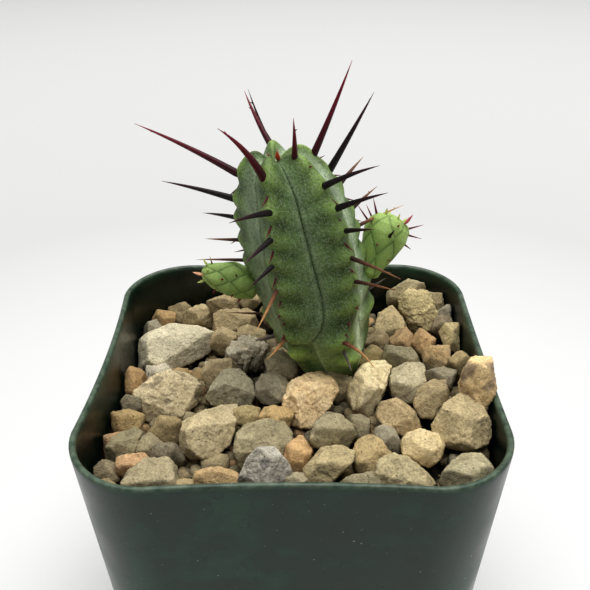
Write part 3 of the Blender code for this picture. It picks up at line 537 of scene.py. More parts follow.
# The large stones. colours are the light and the dark tone, faces are flat breaks (turn, rise, share
# of the reach), and the outline is the shape seen from the camera, right and up from the middle.
namedStones = {
    "stone_left_slab": {
        "colours": ("#c2bba0", "#b5ae94"), "shade": 1.2, "detail": 6, "chips": 4, "rough": 0.8,
        "faces": ((38, 22, 0.7), (-60, 25, 0.82)),
        "outline": (
            (-9.5, -1.5), (-8.5, 0.5), (-6, 2.5), (-1, 4), (4, 3), (7, 1.5), (7, -1), (5.5, -2.5),
            (-3.5, -6), (-7.5, -6), (-9, -4.5),
        ),
    },
    "stone_left_tan": {
        "colours": ("#d9c8a0", "#a8946f"), "detail": 6, "chips": 8, "rough": 1.5, "stain": "#6b5f4e",
        "faces": ((0, 25, 0.76), (60, 15, 0.8)),
        "outline": (
            (-6.5, -1.5), (-5.5, 1), (-1.5, 3.5), (2.5, 3.5), (5, 2), (5.5, 0), (5.5, -2), (1.5, -4.5),
            (-2, -5), (-4, -4.5), (-6, -3),
        ),
    },
    "stone_front_left_ridge": {
        "colours": ("#cab990", "#9c8a62"), "detail": 6, "chips": 5,
        "faces": ((28, 38, 0.7), (-50, 20, 0.85)),
        "outline": (
            (-4.5, -1.5), (-4, 1), (0, 2.5), (2.5, 3), (5, 3), (5, 1.5), (4, -1.5), (3, -3.5), (0.5, -5),
            (-3, -5), (-4.5, -3.5),
        ),
    },
    "stone_grey_speckled": {
        "colours": ("#a19d83", "#7f7b66"), "detail": 6, "faces": ((0, 22, 0.72),),
        "outline": (
            (-4, -1), (-2.5, 1.5), (-0.5, 3.5), (2, 3.5), (4, 1), (4.5, -1), (3.5, -3), (1, -3.5),
            (-3, -2.5),
        ),
    },
    "stone_dark_grey": {
        "colours": ("#86826f", "#64604f"),
        "outline": (
            (-2.5, 1), (-1.5, 3), (0.5, 3.5), (2.5, 2.5), (3.5, 0.5), (2.5, -1.5), (0.5, -2.5), (-1.5, -2),
            (-2.5, -0.5),
        ),
    },
    "stone_grey_green": {
        "colours": ("#8a836a", "#68634f"),
        "outline": (
            (-1.5, 1.5), (-0.5, 3), (1.5, 3.5), (4, 1.5), (5, -0.5), (4, -2), (1, -2), (-1, -0.5),
        ),
    },
    "stone_orange_long": {
        "colours": ("#f6daa8", "#cfa976"), "shade": 1.28, "detail": 6, "rough": 1.3, "ledges": 1.4,
        "faces": ((35, 35, 0.75), (-40, 25, 0.8)),
        "outline": (
            (-3.5, -0.5), (-2.5, 3), (0.5, 4.5), (2.5, 5), (6, 4.5), (6.5, 3), (4.5, -0.5), (1, -4.5),
            (-0.5, -4.5), (-2.5, -3.5),
        ),
    },
    "stone_yellow_long": {
        "colours": ("#dccda2", "#aa9b72"), "shade": 1.6, "rough": 1.3, "ledges": 1.5,
        "faces": ((-62, 30, 0.7), (35, 15, 0.8)),
        "outline": (
            (-5, -3.5), (-4.5, -2), (-2, 3), (0, 4), (2, 4), (3, 3), (2.5, 0), (0, -5.5), (-1.5, -6),
            (-4.5, -4.5),
        ),
    },
    "stone_round": {
        "colours": ("#cec3a0", "#948c6d"), "sharp": 26,
        "outline": (
            (-3, 0), (-3, 2), (-0.5, 3.5), (2.5, 3.5), (3, 1.5), (3, -1.5), (1.5, -3), (-1, -3.5),
            (-2.5, -2.5),
        ),
    },
    "stone_brown_block": {
        "colours": ("#ab9870", "#7c6c4d"), "faces": ((-25, 35, 0.75), (60, 20, 0.75)),
        "outline": (
            (-3, -1), (-2.5, 1.5), (0, 3.5), (2, 3.5), (2.5, 1.5), (2.5, -0.5), (0.5, -3), (-1.5, -3),
            (-2.5, -2),
        ),
    },
    "stone_rhombus": {
        "colours": ("#c6b387", "#93845f"), "detail": 6, "chips": 5,
        "faces": ((-30, 38, 0.8), (45, 30, 0.78)),
        "outline": (
            (-3.5, -1.5), (-2, 2), (0, 4), (2.5, 4), (6, -0.5), (5, -3), (2, -4.5), (-1, -4.5), (-3, -3),
        ),
    },
    "stone_tall_ochre": {
        "colours": ("#dfbf88", "#b0936a"), "shade": 1.45, "rough": 1.5, "stain": "#5c4a4c",
        "faces": ((-15, 20, 0.78), (70, 30, 0.85)),
        "outline": (
            (-2, -2), (-2, 1.5), (-1, 4), (2, 4.5), (4, 2.5), (4, 1.5), (3, -4.5), (2, -5), (-1, -3),
        ),
    },
    "stone_brown_long": {
        "colours": ("#b89f74", "#8a754f"), "faces": ((-20, 30, 0.72), (60, 30, 0.8)),
        "outline": (
            (-3.5, 1), (-3, 2.5), (-0.5, 3.5), (2.5, 1.5), (3.5, -1), (3, -2), (1, -2.5), (-1.5, -1.5),
            (-3.5, 0),
        ),
    },
    "stone_light_orange": {
        "colours": ("#f1daa8", "#caad73"), "sharp": 28,
        "outline": (
            (-4, 0.5), (-3.5, 2), (-1.5, 3), (1.5, 2.5), (2.5, 1), (2, -1), (0.5, -2.5), (-1.5, -2),
            (-3.5, -1),
        ),
    },
    "stone_pale_wedge": {
        "colours": ("#c4b58b", "#93855f"), "rough": 1.3, "faces": ((-15, 25, 0.72), (40, 35, 0.8)),
        "outline": (
            (-4.5, -1), (-4, 2), (-2.5, 3), (0, 2.5), (2.5, 1), (4, -0.5), (3.5, -1.5), (-1.5, -3),
            (-4, -2.5),
        ),
    },
    "stone_corner_grey": {
        "colours": ("#ada684", "#857d60"),
        "outline": (
            (-3.5, -2), (-3.5, -0.5), (-2.5, 1.5), (-1, 3), (1.5, 3.5), (3.5, 1.5), (3, -0.5), (0, -2.5),
            (-2.5, -3),
        ),
    },
    "stone_front_beige": {
        "colours": ("#c0af82", "#93845c"), "ledges": 1.2, "faces": ((10, 20, 0.7), (-60, 40, 0.8)),
        "outline": (
            (-3.5, -2), (-3.5, 0), (-1, 3), (2, 3.5), (4, 2.5), (3.5, 1), (2.5, 0), (0, -2.5), (-2.5, -3.5),
        ),
    },
    "stone_middle_grey": {
        "colours": ("#a09777", "#78704f"),
        "outline": (
            (-3.5, -1), (-3, 1.5), (-1, 3.5), (1, 3), (3, 1.5), (3.5, 0), (2.5, -2), (-0.5, -2.5), (-3, -2),
        ),
    },
    "stone_olive": {
        "colours": ("#9f9676", "#777053"), "detail": 6,
        "outline": (
            (-4, -1), (-3.5, 1.5), (-2, 3), (1, 3.5), (4, 3), (5, 1), (4.5, -2), (4, -4.5), (0.5, -5.5),
            (-3, -4),
        ),
    },
    "stone_purple_grey": {
        "colours": ("#c6c2b6", "#a39e93"), "detail": 6, "chips": 6, "rough": 0.7, "sharp": 40,
        "stain": "#6f6b68",
        "outline": (
            (-4, -2), (-2.5, 1), (-1, 2.5), (1.5, 2.5), (3.5, 0), (4, -2), (3, -3.5), (-0.5, -3.5),
            (-3.5, -3),
        ),
    },
    "stone_front_left_wedge": {
        "colours": ("#a89c7c", "#867b5c"), "chips": 3,
        "outline": (
            (-3.5, 1), (-2.5, 2.5), (0, 4), (3.5, 3.5), (4.5, 2), (4.5, 0), (4.5, -1), (0, -1.5), (-3.5, 0),
        ),
    },
    "stone_back_right_lump": {
        "colours": ("#c2b17f", "#8d7d55"), "detail": 6, "rough": 1.7, "sharp": 40,
        "outline": (
            (-3.5, -1), (-4, 2.5), (-2.5, 4), (1.5, 4.5), (3, 2), (4, -1), (2, -4), (-0.5, -4), (-2.5, -3),
        ),
    },
    "stone_back_long": {
        "colours": ("#bca87a", "#92805a"),
        "outline": (
            (-3, -1), (-2.5, 2), (0, 3.5), (2, 1.5), (3.5, -1.5), (3.5, -4.5), (1, -5), (-1.5, -5),
        ),
    },
    "stone_right_oblong": {
        "colours": ("#baa978", "#8e7e57"),
        "outline": (
            (-1, 1.5), (0, 3), (2.5, 3.5), (5, 0.5), (5, -2), (3, -2.5), (0.5, -1.5),
        ),
    },
}

# The small ones: across and along as shares of the bed's half width, top against the rim, length,
# width, height, turn, light and dark tone.
smallStones = (
    (0.24, 0.06, -5.5, 8, 6.5, 6, 20, "#a59873", "#8b7f5f"),
    (0.38, -0.63, -3, 5.5, 5.5, 5, 30, "#bea573", "#a48b5d"),
    (0.47, -0.54, -3, 4.5, 4.5, 4.5, -30, "#96917d", "#7c7866"),
    (0.33, -0.86, -2.5, 7.5, 4, 4, 10, "#8c8469", "#757058"),
    (0.03, -0.58, -4, 4, 7, 5.5, 0, "#eec083", "#d6a068"),
    (0.01, -0.82, -3.5, 3, 4, 4, 0, "#a0987b", "#878066"),
    (-0.34, -0.8, -4, 8.5, 5, 5, 0, "#c8a573", "#ad8c5f"),
    (-0.5, -0.82, -5, 4, 3.5, 4, 40, "#af9b6e", "#95835c"),
    (-0.78, -0.62, -5.5, 5.5, 4, 4, 30, "#cda073", "#b2855a"),
    (-0.9, -0.78, -6.5, 4.5, 4, 4, 0, "#9b8764", "#826f50"),
    (-0.93, -0.64, -6.5, 3.5, 3.5, 3.5, 60, "#82765c", "#6b614a"),
    (-0.86, -0.46, -5.5, 7.5, 5.5, 6, 45, "#878062", "#6f694f"),
    (-0.97, -0.44, -6, 5.5, 5, 5, -20, "#af875f", "#916c49"),
    (-0.95, -0.26, -6.5, 6, 4.5, 4.5, 20, "#b99b64", "#9c804f"),
    (-0.96, -0.08, -6.5, 3.5, 4.5, 5, 80, "#78735f", "#625e4d"),
    (-0.98, 0.12, -6.5, 4, 5.5, 5, 0, "#af8755", "#916c42"),
    (-0.72, -0.48, -6, 4, 5, 4.5, 70, "#968e6e", "#7d765a"),
    (-0.63, -0.53, -6, 4, 5.5, 5, 100, "#696455", "#545045"),
    (-0.64, -0.35, -5.5, 4, 6, 5, 110, "#a08a5f", "#86724c"),
    (-0.24, -0.28, -4.5, 4.5, 3.5, 4, 0, "#b4a06e", "#99865a"),
    (-0.09, -0.3, -4.5, 5.5, 4.5, 4.5, 20, "#d7b478", "#bd9960"),
    (-0.27, 0.36, -5.5, 6.5, 6, 5, 40, "#8f8b7e", "#6a675e"),
    (-0.42, 0.17, -5.5, 6.5, 5, 5, 50, "#b5a27c", "#9a8866"),
    (-0.45, 0.9, -4.5, 8.5, 4.5, 5, 0, "#aa966e", "#8f7d5b"),
    (-0.3, 0.92, -4, 4.5, 4.5, 4.5, 0, "#beac82", "#a1906a"),
    (-0.38, 0.77, -6, 9.5, 6.5, 6, 5, "#aa966e", "#8c7a58"),
    (-0.62, 0.84, -6.5, 6.5, 5.5, 5.5, 20, "#beac82", "#a28f68"),
    (-0.75, 0.92, -7, 4.5, 4, 4, 0, "#a5946c", "#8a7a58"),
    (-0.85, 0.84, -7, 4, 4, 4, 40, "#c09a66", "#a58052"),
    (-0.93, 0.7, -7.5, 4, 4, 4, 0, "#8c8878", "#747062"),
    (-0.42, 0.55, -6.5, 5, 5.5, 5, 30, "#b8a47a", "#9c8a64"),
    (-0.27, 0.56, -6, 5, 5.5, 5, 0, "#a5946c", "#8a7a58"),
    (0.75, 0.93, -2.5, 9.5, 4.5, 6, 0, "#afa27d", "#968a68"),
    (0.91, 0.84, -3, 5, 6.5, 6, 80, "#a59673", "#8c7e5f"),
    (0.96, 0.68, -4, 4.5, 4, 4, 0, "#8c8878", "#747062"),
    (0.93, 0.58, -4, 4, 5.5, 5, 0, "#7d705a", "#675c48"),
    (0.66, 0.38, -3.5, 5.5, 5.5, 5.5, 0, "#b49164", "#98784f"),
    (0.77, 0.34, -3, 4.5, 4.5, 4.5, 0, "#be9664", "#a37c4e"),
    (0.84, 0.19, -3, 5, 5, 5, 50, "#be9b69", "#8c8068"),
    (0.95, 0.1, -2.5, 4.5, 5, 5, 0, "#a59164", "#8a784f"),
    (0.61, 0.19, -3.5, 6.5, 5, 5, -20, "#827d64", "#6b6751"),
    (0.51, 0.4, -4, 3.5, 5, 5, 0, "#9c8a66", "#816f50"),
    (0.47, 0.24, -4, 5.5, 4.5, 5, 0, "#a5915f", "#8a784c"),
    (0.8, -0.02, -2.5, 5, 4, 4, 0, "#827d69", "#6b6756"),
    (0.34, -0.4, -3.5, 4, 5.5, 5, 0, "#8c8469", "#736c55"),
    (0.33, 0.86, -5, 8, 6, 6, 15, "#a5946c", "#8a7a58"),
    (0.1, 0.9, -5, 7, 5.5, 6, -10, "#b4a078", "#998660"),
    (-0.1, 0.86, -5, 6, 6, 6, 30, "#a8946c", "#8c7a56"),
)

# Stones of this light tone are crumbs of cinder, rough and rounded.
cinder = {"tone": "#8f8b7e", "look": {"rough": 3.6, "sharp": 14, "ledges": 2.5, "shade": 1.9}}

# What the pot's wall leaves for the stones: planes a gap inside it, and a simpler outline for gravel.
wallRoom = {
    "gap": 0.3,
    "lean": 0.077,
    "stoneHalf": 5.0,
    "sideGap": 2.2,
    "cornerGap": 1.5,
    "leftBow": 1.4,
    "leftBowHalf": 19.0,
}

# Gravel thrown at the gaps: a stone fills what room it finds.
fillers = {
    "darts": 9000,
    "seed": 7,
    "reach": 30.0,
    "largest": 4.8,
    "smallest": 1.6,
    "sunk": 0.7,
    # painted shade: gap fillers are darkened as if shaded between the larger stones
    "shade": 0.72,
    "stemFoot": ((6.4, 7.9), 6.0),
    "leftLimit": -27.2,
    "feelsAt": 14.0,  # how near a neighbour has to be to press on a stone
}
grit = {
    "count": 700,
    "seed": 11,
    "smallest": 0.45,
    "largest": 1.2,
    "sunk": 1.2,
    "rise": 1.6,
    "axes": ((1, 0, 0), (0, 1, 0), (0, 0, 1), (0.6, 0.6, 0.5), (0.6, -0.6, -0.5)),
    # painted shade: the grit is darkened as if shaded deep in the gaps
    "look": {"chips": 0, "detail": 1, "sharp": 20, "shade": 0.6},
}


def wallPlanes(middle):
    # planes that keep a stone inside the pot's walls and corners
    gap = pot["wall"] + wallRoom["gap"]
    half, corner = pot["width"] / 2 - gap, pot["rimCorner"] - gap
    limit = pot["width"] / 2 - pot["rimCorner"]
    planes = []
    for turn in range(0, 360, 15):
        way = Vector((*onCircle(math.radians(turn)), 0))
        reach = (half - corner) * (abs(way.x) + abs(way.y)) + corner
        if turn % 90 == 0:
            across = max(0, abs(middle.y if turn % 180 == 0 else middle.x) - wallRoom["stoneHalf"])
            reach -= pot["bow"][turn // 90] * (1 - min(1, across / limit) ** 2)
        normal = Vector((way.x, way.y, -wallRoom["lean"])).normalized()
        away = normal.dot(way * reach + Vector((0, 0, pot["height"])) - middle)
        planes.append((normal, max(0.4, away)))
    return planes


def insideWall(spot):
    # how far a spot is inside the pot's wall, less than nothing when it is outside
    corner = pot["rimCorner"] - wallRoom["cornerGap"]
    pinch = wallRoom["leftBow"] * max(0, 1 - (spot.y / wallRoom["leftBowHalf"]) ** 2) if spot.x < 0 else 0
    flat = pot["width"] / 2 - wallRoom["sideGap"] - corner
    over = Vector((max(0, abs(spot.x) + pinch - flat), max(0, abs(spot.y) - flat)))
    return corner - over.length


def throwSpot(chance):
    return Vector([chance.uniform(-fillers["reach"], fillers["reach"]) for _ in range(2)])


def fillGaps(rooms, named, chance):
    # wherever a gap is left between the stones, one of the gap's size
    tones = [colours for *_, colours in rooms]
    taken = [(middle.xy, (size[0] + size[1]) / 4) for middle, size, *_ in rooms + named]
    foot, footHalf = fillers["stemFoot"]
    taken.append((Vector(foot), footHalf))
    for _ in range(fillers["darts"]):
        spot = throwSpot(chance)
        room = min((spot - place).length - 0.9 * half for place, half in taken)
        wall = insideWall(spot)
        if room < 0 or wall < 0.9:
            continue
        size = min(fillers["largest"], 1.8 * room + 1.7, 2 * wall + 0.4) * chance.uniform(0.85, 1.1)
        size = max(fillers["smallest"], size)
        tall = size * chance.uniform(0.6, 1.1)
        middle = Vector((*spot, bedTop(*spot) - fillers["sunk"] + tall * chance.uniform(-0.1, 0.35)))
        sizes = (size * chance.uniform(1.1, 1.6), size * chance.uniform(0.75, 1), tall)
        rooms.append((middle, sizes, chance.uniform(0, 180), chance.choice(tones)))
        taken.append((spot, size * 0.5))


def facetPlanes(sizes, turn, chance):
    # ten uneven facets round a stone of these sizes
    spin = Matrix.Rotation(math.radians(turn), 3, "Z") @ Matrix.Rotation(chance.uniform(-0.4, 0.4), 3, "X")
    planes = []
    for facet in range(10):
        z = 1 - 2 * (facet + 0.5) / 10
        angle = 2.4 * facet + chance.uniform(-0.6, 0.6)
        way = Vector((*onCircle(angle, math.sqrt(1 - z * z)), z + chance.uniform(-0.25, 0.25))).normalized()
        normal = spin @ Vector([part / size for part, size in zip(way, sizes)])
        planes.append((normal.normalized(), chance.uniform(0.38, 0.56) / normal.length))
    return planes


def pressPlanes(middle, size, neighbours, gap):
    # planes where the neighbours press, so that stones touch and don't run into each other
    planes = []
    for place, extents, *_ in neighbours:
        apart = place - middle
        if place is not middle and apart.length <= fillers["feelsAt"]:
            share = size / (size + math.sqrt(extents[0] * extents[1]))
            planes.append((apart.normalized(), max(0.5, apart.length * share + gap)))
    return planes


def makeSmallStones(material):
    chance = random.Random(fillers["seed"])
    rooms = []
    for across, along, above, length, width, height, turn, *colours in smallStones:
        x = max(fillers["leftLimit"], across * bed["half"])
        middle = Vector((x, along * bed["half"], pot["height"] + above - height / 2))
        rooms.append((middle, (length, width, height), turn, tuple(colours)))
    named = []
    for name in namedStones:
        low, high = (Vector(corner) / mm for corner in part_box(name))
        named.append(((low + high) / 2, high - low))
    fillGaps(rooms, named, chance)
    groups = {}
    for number, (middle, sizes, turn, colours) in enumerate(rooms):
        big = number < len(smallStones)
        size = math.sqrt(sizes[0] * sizes[1])
        planes = wallPlanes(middle) + facetPlanes(sizes, turn, chance)
        planes += pressPlanes(middle, size, rooms + named, 0.05 if big else 0.2)
        look = {"colours": colours, "sharp": chance.uniform(40, 80), "chips": 5}
        if big:
            look["detail"] = 5 if size > 5.5 else 4
            area = "Left" if middle.x < -8 else "Right" if middle.x > 12 else "Middle"
        else:
            # the fillers carry the painted shade of the gaps
            look.update(detail=3 if size > 3.2 else 2, shade=fillers["shade"])
            area = "Fill"
        if colours[0] == cinder["tone"]:
            look.update(cinder["look"])
        if area not in groups:
            groups[area] = newMesh()
        carveStone(groups[area], middle, planes, look, number + 100)
    for area, bm in groups.items():
        finishPiece(bm, "gravel" + area, material, "gravel")


def makeGrit(material):
    bm = newMesh()
    chance = random.Random(grit["seed"])
    for number in range(grit["count"]):
        spot = throwSpot(chance)
        size = chance.uniform(grit["smallest"], grit["largest"]) / 2
        if insideWall(spot) < 0.6:
            continue
        middle = Vector((*spot, bedTop(*spot) - grit["sunk"] + chance.uniform(0, grit["rise"])))
        look = {"colours": chance.choice(smallStones)[7:], **grit["look"]}
        spin = Matrix.Rotation(chance.uniform(0, 3), 3, "Z") @ Matrix.Rotation(chance.uniform(0, 3), 3, "X")
        axes = [(spin @ Vector(way)).normalized() for way in grit["axes"]]
        planes = [(side * axis, size * chance.uniform(0.7, 1.1)) for axis in axes for side in (1, -1)]
        carveStone(bm, middle, planes, look, number + 900)
    finishPiece(bm, "grit", material, "gravel")


def makeBed(material):
    # dark crumbs of soil under the stones; their dark tone is also painted shade for the deep gaps
    bottom = pot["height"] - bed["belowRim"] - bed["depth"] + 0.3
    outline = potOutline(bed["edgeHeight"], bed["edgeInset"])
    dark, light = (hue(code) for code in bed["colours"])

    def place(step, ring):
        x, y = outline[step]
        if ring == 0:
            return Vector((x, y, bottom))
        share = 1 - (ring - 1) / bed["rings"]
        spot = Vector((x * share, y * share))
        lump = noise.fractal(Vector((*spot, 0)) * 0.7, 0.6, 2.0, 4) * bed["crumbs"]
        return Vector((*spot, bedTop(*spot) - bed["sunk"] + lump))

    bm = newMesh()
    loft(bm, len(outline), bed["rings"], place)
    tint = bm.verts.layers.float_color["tint"]
    for vert in bm.verts:
        vert[tint] = (*dark.lerp(light, max(0, noise.noise(vert.co * 1.5))), 1)
    finishPiece(bm, "gritBed", material, "gravel", ["gravel_bed"])


def makeStones():
    materials = {
        "stone_tan": stoneMaterial("crushedSandstone", 0.92),
        "gravel": stoneMaterial("mixedRiverGravel", 0.94),
        "stone_orange": stoneMaterial("paleOrangeSandstone", 0.9),
        "stone_grey": stoneMaterial("greyVolcanicRock", 0.88),
    }
    for number, (name, look) in enumerate(namedStones.items()):
        slot = next((f"stone_{tone}" for tone in ("grey", "orange") if tone in name), "stone_tan")
        bm = newMesh()
        middle, planes = cadStone(name)
        planes = [(normal, reach * (1.06 if normal[2] > 0.75 else 1.5)) for normal, reach in planes]
        planes += outlinePlanes(middle, look["outline"])
        if name == "stone_tall_ochre":  # that one leans out over the rim
            planes.append(((1, 0, 0), 31.0 - middle[0]))
        else:
            planes += wallPlanes(Vector(middle))
        carveStone(bm, middle, planes, look, number)
        finishPiece(bm, camel(name), materials[slot], slot, [name])
    for make in (makeSmallStones, makeGrit, makeBed):
        make(materials["gravel"])
    print("stones made")


# The stem. Its heights are above the rim, and its angles turn from the front to the right.
stem = {
    "x": 5.09,  # where the axis passes the rim
    "y": 7.96,
    "leanX": -0.207,
    "leanY": 0.016,
    "radius": 10.35,
    "middle": 10.0,
    "height": 32.0,
    "belly": 20.0,
    "topFullness": 2.6,
    "bellyFullness": 2.4,
    "topLean": 1.1,
    "topLeanDepth": 10.0,
    "neck": 4.2,
    "foot": -18.0,
    "ribs": {"left": -100, "front_left": -28, "front_right": 44, "right": 112, "back": 186},
    "twist": {"left": 0.5, "front_left": 0.5, "front_right": 0.5, "right": 0.1, "back": 0.2},
    "bumpHeight": 0.1,  # shares of the radius
    "bumpSpread": 1.5,
    "creaseDepth": 0.03,
    "grooveDepth": 0.02,
    "waves": 0.02,
    "crownRise": 2.1,
    "crownDip": 2.0,
    "segments": 300,
    "rings": 240,
    "neckShare": 0.1,  # of the rings, and the share that closes its foot
    "footShare": 0.01,
    "tones": {
        "base": "#48602f",
        # painted shade in the notches between the bumps
        "deep": "#2b3d1b",
        "bright": "#7d974c",
        "line": "#1d2c13",
        "frost": "#8a9a7c",
        "cork": "#43281e",
    },
}

# bumps on each rib, as heights: one under each spine or thorn
bumps = {
    "left": (28.4, 23.8, 20.4, 16.2, 12.2, 7.6, 1.3, -3.0),
    "front_left": (29.6, 25.2, 21.1, 17.0, 12.8, 8.2, 3.5, -0.6),
    "front_right": (30.6, 28.0, 24.8, 21.4, 17.0, 13.1, 9.0, 2.6, -1.5),
    "right": (30.6, 28.2, 25.3, 20.7, 17.4, 13.0, 8.0, 3.0),
    "back": (30.8, 28.0, 24.0, 19.5, 15.0, 10.5, 6.0, 1.5),
}

# where the thin line in a valley runs, as (height, share of the way across from the rib named)
creases = {
    "front_left": (
        (2.4, 0.4), (3.4, 0.5), (4.6, 0.58), (6.5, 0.61), (10, 0.58), (17, 0.5), (24, 0.44), (31, 0.47),
    ),
    "left": ((7, 0.74), (20, 0.69), (25, 0.63), (31, 0.56)),
    "front_right": ((0, 0.66), (5, 0.58), (22, 0.53), (31, 0.5)),
    "right": ((0, 0.5), (31, 0.5)),
    "back": ((0, 0.5), (31, 0.5)),
}


def ribAngle(rib, height):
    kink = -18 * bell(height - 2, 5) if rib == "front_right" else 0
    return stem["ribs"][rib] + stem["twist"][rib] * (height - stem["middle"]) + kink


def stemMiddle(height):
    tip = max(0, height - stem["height"] + stem["topLeanDepth"]) / stem["topLeanDepth"]
    x = stem["x"] + stem["leanX"] * height - stem["topLean"] * tip * tip
    return Vector((x, stem["y"] + stem["leanY"] * height, pot["height"] + height))


def stemHalf(above):
    if above:
        return stem["height"] - stem["middle"], stem["topFullness"]
    return stem["belly"], stem["bellyFullness"]


def stemReach(height):
    depth, fullness = stemHalf(height > stem["middle"])
    share = min(1, abs(height - stem["middle"]) / depth)
    return max(stem["neck"], stem["radius"] * (1 - share**fullness) ** (1 / fullness))


def heading(angle, rise=0):
    x, y = onCircle(math.radians(angle), math.cos(math.radians(rise)))
    return Vector((y, -x, math.sin(math.radians(rise))))


def sideShape(away, gap, soft=0.0012):
    # a five-sided section with soft edges: 1 at a crest, about three quarters between two
    half = math.radians(gap / 2)
    soft = math.sqrt(away * away + soft)
    edge = math.cos(half) / math.cos(half * (1 - 2 * 0.0346))
    flat = math.cos(half) / math.cos(half * (1 - 2 * soft)) / edge
    return flat - 0.05 * math.sin(math.pi * away) ** 2


def skinAt(angle, height):
    # shape and surface marks of the stem in a direction, before any closing at its ends
    crests = sorted((ribAngle(rib, height) % 360, rib) for rib in stem["ribs"])
    angle %= 360
    before = max((c for c in crests if c[0] <= angle), default=(crests[-1][0] - 360, crests[-1][1]))
    after = min((c for c in crests if c[0] > angle), default=(crests[0][0] + 360, crests[0][1]))
    gap = after[0] - before[0]
    share = (angle - before[0]) / gap
    away, rib = (share, before[1]) if share < 0.5 else (1 - share, after[1])
    line = between(creases[before[1]], height)
    across = share / line * 0.5 if share < line else 1 - (1 - share) / (1 - line) * 0.5
    soft = 0.0012 + 0.012 * smoothStep(26, 32, height)
    shape = sideShape(0.5 * away + 0.5 * min(across, 1 - across), gap, soft)
    sunk = height + 4 * away - 0.3
    bump = max(bell(sunk - spot, stem["bumpSpread"]) for spot in bumps[rib])
    swell = bump * bell(away, 0.26) * stem["bumpHeight"] - 0.045 * bell(away, 0.17)
    wave = noise.noise(Vector((across * 3, height * 0.3, angle * 0.02))) * stem["waves"]
    crease = bell(across - 0.5, 0.011)
    groove = bell(across - 0.5, 0.05)
    lip = 0
    if before[1] == "front_left":  # one lobe ends in a fold low at the front
        lobe = smoothStep(-0.05, 0.12, share) * (1 - smoothStep(line - 0.02, line + 0.02, share))
        fold = (1 - smoothStep(1.6, 2.5, height)) * smoothStep(-9, -2, height)
        lip = lobe * (0.07 * bell(height - 5, 3) - 0.12 * fold)
        crease *= smoothStep(2.1, 2.5, height)
    shape += swell + wave - stem["creaseDepth"] * crease - stem["grooveDepth"] * groove + lip
    return shape, away, bump * bell(away, 0.2), crease, across


def skinPoint(rib, height, out=0):
    angle = ribAngle(rib, height)
    return stemMiddle(height) + heading(angle) * (stemReach(height) * skinAt(angle, height)[0] + out)


def euphorbiaSkin(name, cloudy, grainy, salty):
    # The plant's living skin: a thin waxy cuticle, matt, with a fine pale grain over the green
    # and soft clouds of lighter and darker tissue under it.
    settings = {"Roughness": 0.5, "IOR": 1.42, "Specular IOR Level": 0.22}
    made, tree, shader, place = newMaterial(name, settings)
    clouds = (2.6, 4.0, 0.5, 0.2, 1 - cloudy, 1 + cloudy)
    toned, grain = mottle(tree, place, (clouds, (0.34, 2.0, 0.5, 0.18, 1 - grainy, 1 + grainy)))
    salt = addNode(tree, "TexNoise", {"Scale": 1 / (0.26 * mm), "Detail": 1.0, "Vector": place})
    pale = addNode(tree, "MapRange", {"From Min": 0.52, "From Max": 0.68, "To Max": salty, "Value": salt})
    colour = addNode(tree, "Mix", {"data_type": "RGBA", 0: pale, 6: toned, 7: linear("#8c9d83")})
    bump = addNode(tree, "Bump", {"Strength": 0.5, "Distance": 0.14 * mm, "Height": grain})
    fillNode(tree, shader, {"Base Color": colour, "Normal": bump})
    return made


def neckSkin(share):
    # height, radius and marks of the buried neck, for a share of the way up the sphere
    neck = stem["middle"] - stem["belly"] + 0.4
    risen = max(0, share - stem["footShare"]) / (stem["neckShare"] - stem["footShare"])
    height = stem["foot"] + (neck - stem["foot"]) * risen
    return height, stem["neck"] * min(1, share / stem["footShare"]), (0.3, 0, 0, 0.3)


def bodySkin(turn, share):
    # the same for the body above it
    low = math.asin(-0.97)
    lift = low + (math.pi / 2 - low) * (share - stem["neckShare"]) / (1 - stem["neckShare"])
    depth, fullness = stemHalf(lift > 0)
    height = stem["middle"] + depth * math.copysign(abs(math.sin(lift)) ** (2 / fullness), lift)
    shape, *marks = skinAt(turn, min(height, stem["height"] - 0.1))
    radius = stem["radius"] * max(0, math.cos(lift)) ** (2 / fullness)
    plain = sideShape(marks[0], 72)
    radius = radius * plain + stem["radius"] * (shape - plain) * min(1, radius / 4)
    return height, max(radius, stem["neck"] * plain) if lift < 0 else radius, marks


def skinTone(tones, turn, height, away, bump, crease, across):
    crest = bell(away, 0.15)
    # painted shade: darker in the notches between the bumps near a crest
    notchShadeMask = (1 - bump) * bell(away - 0.1, 0.13)
    valley = smoothStep(0.12, 0.4, away)
    right = smoothStep(4, 12, turn - ribAngle("front_right", height))
    left = smoothStep(2, 12, ribAngle("front_left", height) - turn)
    bloom = 0.12 + 0.88 * right + 0.38 * left
    colour = tones["base"].lerp(tones["deep"], 0.85 * notchShadeMask)
    colour = colour.lerp(tones["frost"], bloom * valley + 0.25 * bell(abs(across - 0.5) - 0.06, 0.03))
    colour = colour.lerp(tones["bright"], min(1, 0.65 * bump + 0.3 * crest * smoothStep(20, 32, height)))
    # painted light: the right flank is lightened as if lit from the right; the foot is lighter too
    colour *= 1 + 0.8 * (1 - smoothStep(-1, 6, height)) + 0.35 * right
    colour = colour.lerp(tones["line"], 0.9 * crease)
    patchy = smoothStep(0.1, 0.3, noise.noise(Vector((turn * 0.2, height * 1.1, 3))))
    corky = bell(away, 0.045) * patchy * (1 - smoothStep(14, 20, height))
    return colour.lerp(tones["cork"], 0.7 * corky)


